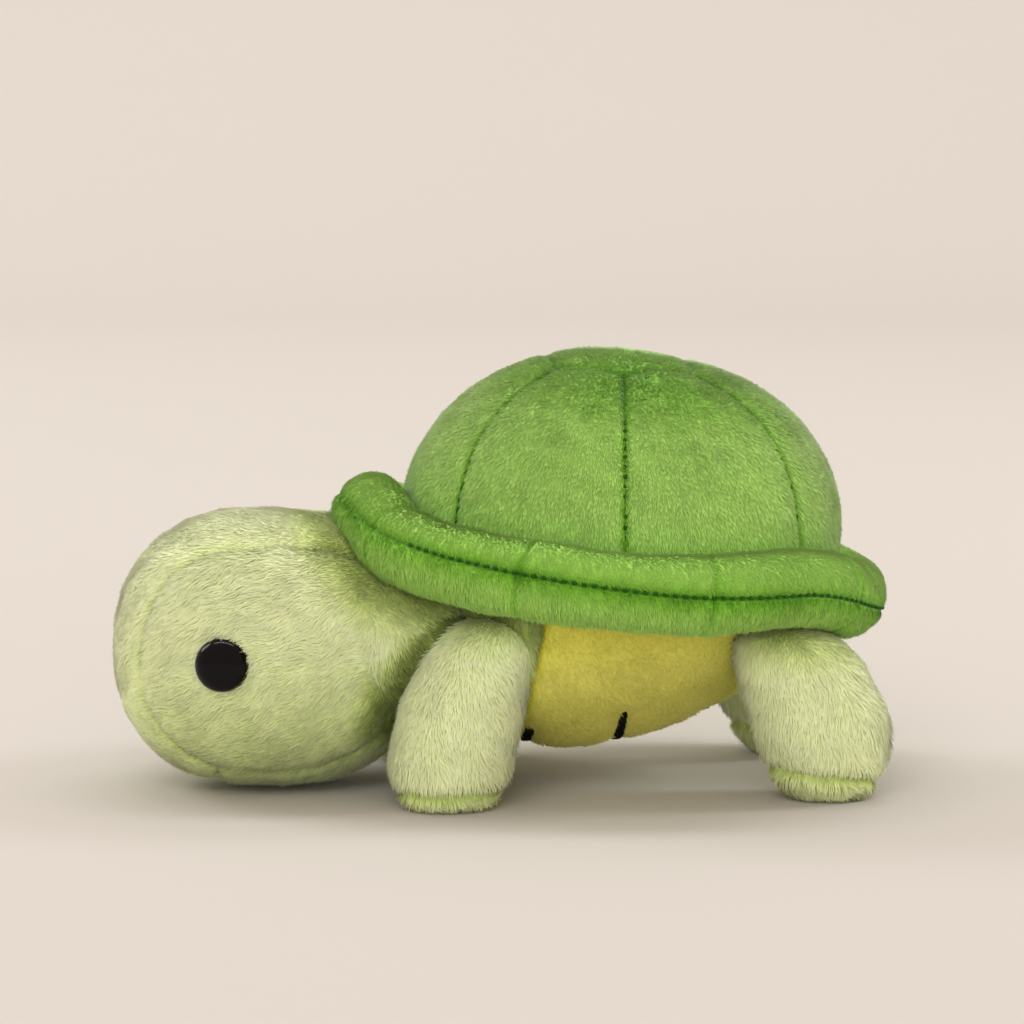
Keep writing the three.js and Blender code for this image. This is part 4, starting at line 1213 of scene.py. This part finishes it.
class TURTLE_OT_shell(bpy.types.Operator):
    """Shell: six gores and a top panel over stuffing, closed by the lining"""

    bl_idname = "turtle.shell"
    bl_label = "Shell"

    def execute(self, context):
        whole = shell_ball(6, SHELL["inset"])
        base = cut(whole, ((0, 0, -4.0), (0, 0, -1)))
        whole.free()
        move_rows(base, shell_dressed(rows_of(base)))
        middle = Vector(SHELL["base"])
        edges = []
        for start, end in shell_sectors():
            between, half = math.radians(start + end) / 2.0, math.radians(end - start) / 2.0
            normal = Vector((math.sin(between), -math.cos(between), 0.0))
            edges.append((middle + normal * SHELL["top_radius"] * math.cos(half), normal))
        self.panel("shell_top_panel", cut(base, *edges), 300)
        # The gores are counted as the solids are: from the seam next to the front, by the toy's left.
        for number, (start, end) in enumerate(shell_sectors()):
            start, end = math.radians(start), math.radians(end)
            after_start = (middle, (-math.cos(start), -math.sin(start), 0.0))
            before_end = (middle, (math.cos(end), math.sin(end), 0.0))
            place, normal = edges[number]
            gore = cut(base, after_start, before_end, (place, -normal))
            self.panel("shell_gore_%d" % (number + 1), gore, 301 + number)
        base.free()
        dome = shell_ball(5, SHELL["inset"] + 3.0)
        filling = cut(dome, ((0, 0, 1.0), (0, 0, -1)))
        dome.free()
        bmesh.ops.holes_fill(filling, edges=[e for e in filling.edges if e.is_boundary], sides=0)
        move_rows(filling, shell_dressed(rows_of(filling)))
        stuffing_piece("shell_filling", filling, "trunk", "shell_stuffing")
        self.lining()
        return {"FINISHED"}

    def panel(self, node, mesh, seed):
        spec = pile_of("shell", seed, shell_comb)
        piece = plush_object(node + "_plush", mesh, spec, hidden_on_shell, shell_shade, plush("shell_plush"))
        belongs(piece, "trunk", "shell_cloth", node)

    def lining(self):
        """A flat disc of knit with a rolled edge."""
        inset, thickness, middle, edge = 2.5, 1.0, -1.0, 0.4
        mesh = bmesh.new()
        bmesh.ops.create_circle(mesh, cap_ends=True, segments=96, radius=1.0)
        half_width, half_length = (size - inset for size in SHELL["half"][:2])
        bmesh.ops.scale(mesh, vec=(half_width, half_length, 1.0), verts=mesh.verts)
        made = bmesh.ops.extrude_face_region(mesh, geom=mesh.faces[:])
        lifted = [item for item in made["geom"] if isinstance(item, bmesh.types.BMVert)]
        bmesh.ops.translate(mesh, vec=(0, 0, thickness), verts=lifted)
        bmesh.ops.translate(mesh, vec=(0, 0, middle - thickness / 2.0), verts=mesh.verts)
        around = [one for one in mesh.edges if abs(one.verts[0].co.z - one.verts[1].co.z) < 1e-6]
        bmesh.ops.bevel(mesh, geom=around, offset=edge, segments=3, profile=0.5, affect="EDGES", material=-1)
        move_rows(mesh, out_of_frame(rows_of(mesh), SHELL, SHELL["base"]))
        piece = solid_object("shell_lining_knit", mesh, fibre_cloth("green_knit", "shell_tip", 1500.0, 0.0003))
        belongs(piece, "trunk", "lining", "shell_lining")


# Rim

RIM_MEAN = 60.5  # the radius that the roll is spun at before it takes the shell's outline
RIM_ROUND = 61.0  # the radius that lengths along the rim are measured at
RIM_WAVES = 60.0  # the radius that its unevenness is drawn at
PUCKERS = 13.2599  # along the seam between the strips, for each radian round the rim


def seam_rise(angle):
    """How far the seam stands above the roll's middle, in radians round the section."""
    places, rises = zip(*RIM["seam_rises"])
    return np.radians(np.interp(np.degrees(np.abs(angle)), places, rises))


def seam_share(angle):
    """How deep the seam draws in at an angle from the front: less at the rim's front and back."""
    angle = np.degrees(np.abs(angle))
    return (0.3 + 0.7 * smooth_step(angle, 15.0, 55.0)) * (1.0 - 0.6 * smooth_step(angle, 115.0, 150.0))


def from_cross_seam(angle):
    """Distance along the rim to the nearest seam between two strips' ends."""
    return np.radians(apart(np.degrees(angle), both_sides(RIM["seams"]))) * RIM_ROUND


def ring_points(points, inset_top, inset_under):
    """Points of a plain spun roll, carried to the rim: drawn in along its seams, lifted and sagged."""
    reach = np.hypot(points[:, 0], points[:, 1])
    angle = np.arctan2(points[:, 0], -points[:, 1])
    out, up = reach - RIM_MEAN, points[:, 2]
    section = np.arctan2(up, out)
    across, along = np.sin(angle), -np.cos(angle)
    half_width, half_length = RIM["half"]
    normal = unit_rows(np.stack([across / half_width, along / half_length], 1))
    over_seam = section - seam_rise(angle)
    upper = smooth_step(np.sin(over_seam), -0.2, 0.2)
    inset = inset_under + (inset_top - inset_under) * upper
    seam = np.abs(over_seam) * ROLL_RADIUS
    outer = smooth_step(np.cos(section), -0.6, 0.2)
    depth = seam_share(angle) * (groove(seam, 1.1, 0.8) + groove(seam, 4.0, 0.3))
    depth = depth + outer * groove(from_cross_seam(angle), 0.8, 0.35)
    depth = depth + 0.3 * np.sin(angle * 2.0 * math.pi * PUCKERS) * groove(seam - 3.0, 2.6, 1.0)
    place = np.stack([across * RIM_WAVES, along * RIM_WAVES, up], 1)
    depth = depth + 0.5 * waves(place, 30.0, 61) + 0.25 * waves(place, 12.0, 62)
    depth = depth - 0.35 * (1.0 - upper) * waves(place, 16.0, 63)
    size = np.hypot(out, up)
    share = (size - inset - depth) / np.maximum(size, 1e-6)
    out, up = out * share, up * share
    shaped = [across * half_width + normal[:, 0] * out, along * half_length + normal[:, 1] * out, up + rim_lift(angle)]
    return out_of_frame(np.stack(shaped, 1), RIM, RIM["centre"])


def rim_place(points):
    """Angle round the rim and in the roll's section, in radians."""
    local, middle = roll_middle(points)
    away = local - middle
    angle = np.arctan2(local[:, 0] / RIM["half"][0], -local[:, 1] / RIM["half"][1])
    outward = unit_rows(np.stack([np.sin(angle) / RIM["half"][0], -np.cos(angle) / RIM["half"][1]], 1))
    out = (away[:, :2] * outward).sum(1)
    return angle, np.arctan2(away[:, 2], out)


def rim_shade(points):
    """How deep the rim lies in shade: in the seam between its strips and in their cross seams."""
    angle, section = rim_place(points)
    seam = (section - seam_rise(angle)) * ROLL_RADIUS
    shade = np.maximum(seam_share(angle), 0.8) * (groove(seam, 0.9, 0.3) + groove(seam, 3.0, 0.35))
    return np.clip(shade + groove(from_cross_seam(angle), 0.7, 0.22), 0.0, 1.0)


def rim_outward(points):
    angle, _ = rim_place(points)
    return np.stack([np.sin(angle), -np.cos(angle), np.zeros(len(angle))], 1)


def upper_comb(roots, normals):
    return rim_outward(roots) + np.array([[0.0, 0.35, -0.6]])


def lower_comb(roots, normals):
    return np.array([[0.0, 0.1, -1.0]]) - rim_outward(roots) * 0.6


def hidden_on_rim(points):
    return (dome_share(points, 0.5) < 1.0) | (bag_share(points, BODY, 0.5) < 1.0)


def twisted(points):
    """Turns the section of a plain roll, so that the seam between its strips runs where the toy has it."""
    reach, angle = np.hypot(points[:, 0], points[:, 1]), np.arctan2(points[:, 0], -points[:, 1])
    turn = seam_rise(angle)
    out, up = reach - RIM_MEAN, points[:, 2]
    turned_out = RIM_MEAN + out * np.cos(turn) - up * np.sin(turn)
    up = out * np.sin(turn) + up * np.cos(turn)
    return np.stack([np.sin(angle) * turned_out, -np.cos(angle) * turned_out, up], 1)


def spun_roll(angles, sections, steps, section_steps):
    """A strip of a plain roll: an arc of its section, spun about the shell's axis between two angles."""
    half_width, half_height = RIM["roll"]
    outline = []
    for step in range(section_steps + 1):
        section = sections[0] + (sections[1] - sections[0]) * step / section_steps
        reach = RIM_MEAN + half_width * math.cos(section)
        outline.append((reach * math.sin(angles[0]), -reach * math.cos(angles[0]), half_height * math.sin(section)))
    mesh = bmesh.new()
    spun(mesh, outline, angles[1] - angles[0], steps)
    return mesh


class TURTLE_OT_rim(bpy.types.Operator):
    """Rim: upper and lower strips sewn round one ring of stuffing"""

    bl_idname = "turtle.rim"
    bl_label = "Rim"

    def execute(self, context):
        seams = RIM["seams"]
        places = [("front", -seams[0], seams[0])]
        for number, (start, end) in enumerate(zip(seams, seams[1:])):
            places.append(("left_%d" % (number + 1), start, end))
            places.append(("right_%d" % (number + 1), -end, -start))
        strips = (
            ("upper", (0.0, math.pi), 400, "rim", upper_comb, "rim_top_plush"),
            ("lower", (-math.pi, 0.0), 420, "under", lower_comb, "rim_plush"),
        )
        for side, section, seed, cloth, comb, material in strips:
            for number, (place, start, end) in enumerate(places):
                node = "rim_%s_%s" % (side, place)
                steps = max(8, int(round((end - start) * 0.8)))
                mesh = spun_roll((math.radians(start), math.radians(end)), section, steps, 30)
                move_rows(mesh, ring_points(twisted(rows_of(mesh)), 0.9, 0.6))
                point_outwards(mesh)
                spec = pile_of(cloth, seed + number, comb)
                piece = plush_object(node + "_plush", mesh, spec, hidden_on_rim, rim_shade, plush(material))
                belongs(piece, "trunk", "rim_cloth", node)
        filling = spun_roll((0.0, 2.0 * math.pi), (0.0, 2.0 * math.pi), 150, 24)
        bmesh.ops.remove_doubles(filling, verts=filling.verts[:], dist=0.01)
        move_rows(filling, ring_points(rows_of(filling), 3.6, 4.0))
        stuffing_piece("rim_filling", filling, "trunk", "rim_stuffing")
        return {"FINISHED"}


def point_outwards(mesh):
    """Turns a strip's faces so that they look away from the middle of the roll."""
    mesh.normal_update()
    face = mesh.faces[:][len(mesh.faces) // 2]
    place = np.array([face.calc_center_median()[:]])
    local, middle = roll_middle(place)
    turn, _ = tilted(RIM, RIM["centre"])
    away = (local - middle)[0] @ turn.T
    if Vector(away).dot(face.normal) < 0.0:
        bmesh.ops.reverse_faces(mesh, faces=mesh.faces[:])
    mesh.normal_update()


# Stitches: length, width and height, in millimetres

STITCH_GAP = 2.6
RIM_STITCH = (1.5, 0.95, 0.9)
SHELL_STITCHES = ((2.7, 0.45, 0.45), (1.5, 1.15, 0.9), (1.4, 0.7, 0.7))  # of the front, middle and rear seams
UNSTITCHED = 35.0  # degrees either side of the rim's front
SHELL_STITCHED = (3.0, 41.0)  # degrees up a seam between gores, from the shell's foot


def add_stitches(mesh, places, ways, lifts, size):
    """Adds a short rounded stitch at each place, along its way."""
    length, width, height = size
    for place, way, lift in zip(places, ways, lifts):
        along = Vector(way).normalized()
        across = Vector(lift).cross(along).normalized()
        turn = Matrix((along, across, along.cross(across))).transposed().to_4x4()
        matrix = Matrix.Translation(place) @ turn @ Matrix.Diagonal((length / 2.0, width / 2.0, height / 2.0, 1.0))
        bmesh.ops.create_uvsphere(mesh, u_segments=7, v_segments=5, radius=1.0, matrix=matrix)


def spaced(points, gap):
    """Points at an even gap along a line of points, with the line's way at each."""
    steps = np.linalg.norm(np.diff(points, axis=0), axis=1)
    travelled = np.concatenate([[0.0], np.cumsum(steps)])
    at = np.arange(gap / 2.0, travelled[-1], gap)
    near, ahead, behind = (
        np.stack([np.interp(at + off, travelled, points[:, axis]) for axis in range(3)], 1) for off in (0.0, 0.2, -0.2)
    )
    return near, unit_rows(ahead - behind)


def shell_seam_line(angle):
    """Points up the lower part of one seam between gores, at the foot of its groove."""
    line, base, sunk = [], np.array([SHELL["base"]]), 1.3
    for rise in np.linspace(*np.radians(SHELL_STITCHED), 60):
        way = np.array([[math.cos(rise) * math.sin(angle), -math.cos(rise) * math.cos(angle), math.sin(rise)]])
        near, far = 20.0, 90.0
        for _ in range(30):
            middle = (near + far) / 2.0
            inside = dome_share(base + way * middle, SHELL["inset"])[0] < 1.0
            near, far = (middle, far) if inside else (near, middle)
        line.append((base + way * (near - sunk))[0])
    return np.array(line)


class TURTLE_OT_stitches(bpy.types.Operator):
    """The dark stitches in the rim's seam and between the gores"""

    bl_idname = "turtle.stitches"
    bl_label = "Stitches"

    def execute(self, context):
        thread = fibre_cloth("dark_thread", "thread", 1200.0, 0.0002)
        mesh = bmesh.new()
        angle = np.linspace(-math.pi, math.pi, 721)
        reach = RIM_MEAN + RIM["roll"][0]
        line = np.stack([reach * np.sin(angle), -reach * np.cos(angle), np.zeros(len(angle))], 1)
        places, ways = spaced(ring_points(twisted(line), 0.1, 0.1), STITCH_GAP)
        round_rim = np.degrees(np.abs(np.arctan2(places[:, 0], RIM["centre"][1] - places[:, 1])))
        places, ways = places[round_rim >= UNSTITCHED], ways[round_rim >= UNSTITCHED]
        outward = places - np.array(RIM["centre"])
        outward[:, 2] *= 0.2
        add_stitches(mesh, places, ways, unit_rows(outward), RIM_STITCH)
        belongs(solid_object("rim_stitches", mesh, thread), "trunk", "rim_cloth")
        mesh, proud = bmesh.new(), 0.35
        for seam, size in zip(SHELL["seams"], SHELL_STITCHES):
            for side in (seam, -seam):
                places, ways = spaced(shell_seam_line(math.radians(side)), STITCH_GAP)
                outward = unit_rows(places - np.array(SHELL["base"]))
                add_stitches(mesh, places + outward * proud, ways, outward, size)
        belongs(solid_object("shell_stitches", mesh, thread), "trunk", "shell_cloth")
        return {"FINISHED"}


# Legs

def rounded_outline(points, times):
    """A leg's outline with its corners cut again and again into a curve."""
    points = [np.array(p) for p in points]
    for _ in range(times):
        smooth = [points[0]]
        for a, b in zip(points, points[1:]):
            smooth += [a * 0.75 + b * 0.25, a * 0.25 + b * 0.75]
        smooth.append(points[-1])
        points = smooth
    return points


def leg_mesh(leg, side, inset, steps=56):
    """A leg of stuffed cloth: its outline spun, then leaned towards the body."""
    mesh = bmesh.new()
    middle, *outline = leg["outline"]
    curve = rounded_outline(outline, 3)
    curve = [np.array(middle), curve[0] * 0.5, *curve]
    spun(mesh, [(out, 0.0, up) for out, up in curve], 2.0 * math.pi, steps)
    bmesh.ops.remove_doubles(mesh, verts=mesh.verts[:], dist=1e-5)
    rows = rows_of(mesh)
    half_width, half_length = (size - inset for size in leg["half"])
    share = rows[:, 2]
    x = leg["sole"][0] + leg["lean"][0] * share + rows[:, 0] * half_width
    y = leg["sole"][1] + leg["lean"][1] * share**2 + rows[:, 1] * half_length
    z = 1.0 + inset * 0.25 + share * (leg["height"] - inset - 1.0)
    move_rows(mesh, np.stack([x * side, y, z], 1))
    bmesh.ops.recalc_face_normals(mesh, faces=mesh.faces[:])
    mesh.normal_update()
    return mesh


def sole_height(points, leg):
    """Height over the seam between a leg's sole and its panels, which may slope towards the tail."""
    level, rise = leg["sole_seam"]
    return points[:, 2] - level - rise * (points[:, 1] - leg["sole"][1])


def leg_dressed(points, leg, side):
    """A leg's bag with its seams drawn in, and flat on the table."""
    share = points[:, 2] / leg["height"]
    axis = np.stack([side * (leg["sole"][0] + leg["lean"][0] * share),
                     leg["sole"][1] + leg["lean"][1] * share**2, np.clip(points[:, 2], 8.0, 38.0)], 1)
    out = unit_rows(points - axis)
    split = np.abs(points[:, 0] - axis[:, 0])
    depth = groove(sole_height(points, leg), 1.3, 1.6) + 0.5 * groove(split, 1.6, 1.0)
    depth = depth + 0.55 * waves(points, 24.0, 71) + 0.15 * waves(points, 8.0, 72)
    moved = points - out * depth[:, None]
    moved[:, 2] = np.maximum(moved[:, 2], 1.3)
    return moved


def leg_shade_of(leg, side):
    """How deep a leg lies in shade: in its seams and under the rim."""
    def shade(points):
        share = points[:, 2] / leg["height"]
        split = points[:, 0] - side * (leg["sole"][0] + leg["lean"][0] * share)
        seams = groove(sole_height(points, leg), 1.1, 0.6) + groove(split, 1.0, 0.2)
        return np.clip(seams + 0.5 * under_rim(points, 24.0), 0.0, 1.0)

    return shade


def hidden_on_leg(points):
    return (bag_share(points, BODY, 1.0) < 1.0) | (roll_distance(points) < 8.5)


def leg_comb_of(side):
    """Pile combed down a leg, and towards the tail under its sole."""
    def comb(roots, normals):
        under = roots[:, 2:] < 3.0
        return np.where(under, np.array([[0.2 * side, 1.0, 0.0]]), np.array([[0.0, 0.12, -1.0]]))

    return comb


class TURTLE_OT_legs(bpy.types.Operator):
    """Legs: outer and inner panels, sole and stuffing, four times"""

    bl_idname = "turtle.legs"
    bl_label = "Legs"

    def execute(self, context):
        seed = 500
        for leg in (FRONT_LEG, REAR_LEG):
            for name, side in (("left", 1.0), ("right", -1.0)):
                body = "%s_leg_%s" % (leg["name"], name)
                whole = leg_mesh(leg, side, LEG_INSET)
                bmesh.ops.subdivide_edges(whole, edges=[e for e in whole.edges if e.calc_length() > 1.6], cuts=1,
                                          use_grid_fill=True)
                level, rise = leg["sole_seam"]
                seam = (0.0, leg["sole"][1], level)
                seam_up = Vector((0.0, -rise, 1.0)).normalized()
                split = (side * leg["sole"][0], 0.0, 0.0)
                lean = leg["lean"][0] / leg["height"]
                outwards = Vector((side, 0.0, -lean)).normalized()
                panels = {
                    "outer_panel": cut(whole, (seam, -seam_up), (split, -outwards)),
                    "inner_panel": cut(whole, (seam, -seam_up), (split, outwards)),
                    "sole": cut(whole, (seam, seam_up)),
                }
                for part, panel in panels.items():
                    move_rows(panel, leg_dressed(rows_of(panel), leg, side))
                    drop_faces(panel, lambda points: bag_share(points, BODY, 4.0) < 1.0)
                    seed += 1
                    # The soles' plush is greener and a little darker, partly as painted shade on their downward face.
                    node, cloth = "%s_%s" % (body, part), plush("sole_plush" if part == "sole" else "pale_plush")
                    # Painted light: the legs' pile is made paler, as if its tips faced the lamps.
                    spec = pile_of("skin", seed, leg_comb_of(side), lean=72.0, tone=0.45)
                    piece = plush_object(node + "_plush", panel, spec, hidden_on_leg, leg_shade_of(leg, side), cloth)
                    belongs(piece, body, "skin_cloth", node)
                filling = leg_mesh(leg, side, LEG_INSET + 2.5, 40)
                stuffing_piece(body + "_filling", filling, body, body + "_stuffing")
                whole.free()
        return {"FINISHED"}


# Stage, in metres and watts

# The sweep's outline: how far it reaches before and behind the toy, the radius of its curve and the wall's height
SWEEP = {"front": 3.0, "behind": 1.4, "curve": 0.6, "height": 3.5, "half_width": 3.0}
# Each lamp stands this far to the camera's side of the toy, to its right and up, and has its size and power.
LAMPS = {
    "front": (2.0, -0.4, 1.5, (1.2, 0.9), 13.5),
    "low": (2.0, 0.2, 0.45, (1.5, 0.6), 6.5),
    "left": (-0.8, -1.6, 1.3, (0.9, 0.9), 14.0),
    "right": (-0.3, 1.9, 1.2, (0.5, 0.5), 14.0),
    "wall": (-0.6, 0.0, 3.0, (3.0, 1.0), 42.0),
}
LAMP_COLOUR = (0.95, 1.0, 1.03)
ROOM_COLOUR, ROOM_STRENGTH = (1.0, 0.79, 0.70, 1.0), 0.7


class TURTLE_OT_stage(bpy.types.Operator):
    """Table, wall, lamps and camera"""

    bl_idname = "turtle.stage"
    bl_label = "Stage"

    def execute(self, context):
        scene = context.scene
        azimuth, elevation = math.radians(LENS_AZIMUTH), math.radians(LENS_ELEVATION)
        back = Vector((math.sin(azimuth) * math.cos(elevation), -math.cos(azimuth) * math.cos(elevation),
                       math.sin(elevation)))
        right = Vector((math.cos(azimuth), math.sin(azimuth), 0.0))
        up = back.cross(right)
        aim = Vector(LENS_AIM) * MM
        lens = bpy.data.cameras.new("lens")
        lens.angle = math.radians(LENS_FIELD)
        lens.clip_end = 20.0
        camera = bpy.data.objects.new("camera", lens)
        turn = Matrix((right, up, back)).transposed().to_4x4()
        camera.matrix_world = Matrix.Translation(aim + back * LENS_DISTANCE * MM) @ turn
        scene.collection.objects.link(camera)
        scene.camera = camera
        self.table(back, right)
        self.lamps(aim, back, right)
        self.room(scene)
        scene.view_settings.view_transform = "Standard"
        return {"FINISHED"}

    def table(self, back, right):
        """A pale sweep: a flat table that curves up into the wall."""
        mesh = bmesh.new()
        behind, curve, half_width = SWEEP["behind"], SWEEP["curve"], SWEEP["half_width"]
        outline = [(SWEEP["front"], 0.0), (-behind, 0.0)]
        for step in range(1, 13):
            angle = step / 12.0 * math.pi / 2.0
            outline.append((-behind - curve * math.sin(angle), curve - curve * math.cos(angle)))
        outline.append((-behind - curve, SWEEP["height"]))
        flat = Vector((back.x, back.y, 0.0)).normalized()
        _, edges = chain(mesh, [flat * out - right * half_width + Vector((0, 0, up)) for out, up in outline])
        made = bmesh.ops.extrude_edge_only(mesh, edges=edges)
        moved = [item for item in made["geom"] if isinstance(item, bmesh.types.BMVert)]
        bmesh.ops.translate(mesh, vec=right * half_width * 2.0, verts=moved)
        solid_object("table", mesh, pale_paper(), 1.0)

    def lamps(self, aim, back, right):
        """Area lamps turned at the toy, and one at the wall behind it."""
        up = Vector((0.0, 0.0, 1.0))
        flat = Vector((back.x, back.y, 0.0)).normalized()
        for name, (near, aside, height, size, power) in LAMPS.items():
            place = flat * near + right * aside + up * height
            light = bpy.data.lights.new(name, "AREA")
            light.shape = "RECTANGLE"
            light.size, light.size_y = size
            light.energy = power
            light.color = LAMP_COLOUR
            lamp = bpy.data.objects.new(name, light)
            way = (aim if name != "wall" else -flat * 2.0 + up * 0.6) - place
            lamp.matrix_world = Matrix.Translation(place) @ way.to_track_quat("-Z", "Y").to_matrix().to_4x4()
            lamp.visible_glossy = name not in ("front", "low")
            bpy.context.scene.collection.objects.link(lamp)

    def room(self, scene):
        world = bpy.data.worlds.new("room")
        scene.world = world
        world.use_nodes = True
        background = world.node_tree.nodes["Background"]
        background.inputs["Color"].default_value = ROOM_COLOUR
        background.inputs["Strength"].default_value = ROOM_STRENGTH


class TURTLE_PT_panel(bpy.types.Panel):
    """Lists the turtle's pieces and settings"""

    bl_idname = "TURTLE_PT_panel"
    bl_label = "Plush turtle"
    bl_space_type = "VIEW_3D"
    bl_region_type = "UI"
    bl_category = "Turtle"

    def draw(self, context):
        for operator in OPERATORS:
            self.layout.operator(operator.bl_idname)
        for group in (context.scene.turtle_pile, context.scene.turtle_colours):
            box = self.layout.box()
            for name in group.bl_rna.properties.keys():
                if name not in ("rna_type", "name"):
                    box.prop(group, name)


OPERATORS = (TURTLE_OT_stage, TURTLE_OT_head, TURTLE_OT_eyes, TURTLE_OT_neck, TURTLE_OT_body, TURTLE_OT_shell,
             TURTLE_OT_rim, TURTLE_OT_stitches, TURTLE_OT_legs)
CLASSES = (PileSettings, ColourSettings, *OPERATORS, TURTLE_PT_panel)


def register():
    for item in CLASSES:
        bpy.utils.register_class(item)
    bpy.types.Scene.turtle_pile = bpy.props.PointerProperty(type=PileSettings)
    bpy.types.Scene.turtle_colours = bpy.props.PointerProperty(type=ColourSettings)


def unregister():
    del bpy.types.Scene.turtle_colours
    del bpy.types.Scene.turtle_pile
    for item in reversed(CLASSES):
        bpy.utils.unregister_class(item)


def main():
    register()
    for operator in OPERATORS:
        group, name = operator.bl_idname.split(".")
        getattr(getattr(bpy.ops, group), name)()


if __name__ == "__main__":
    main()
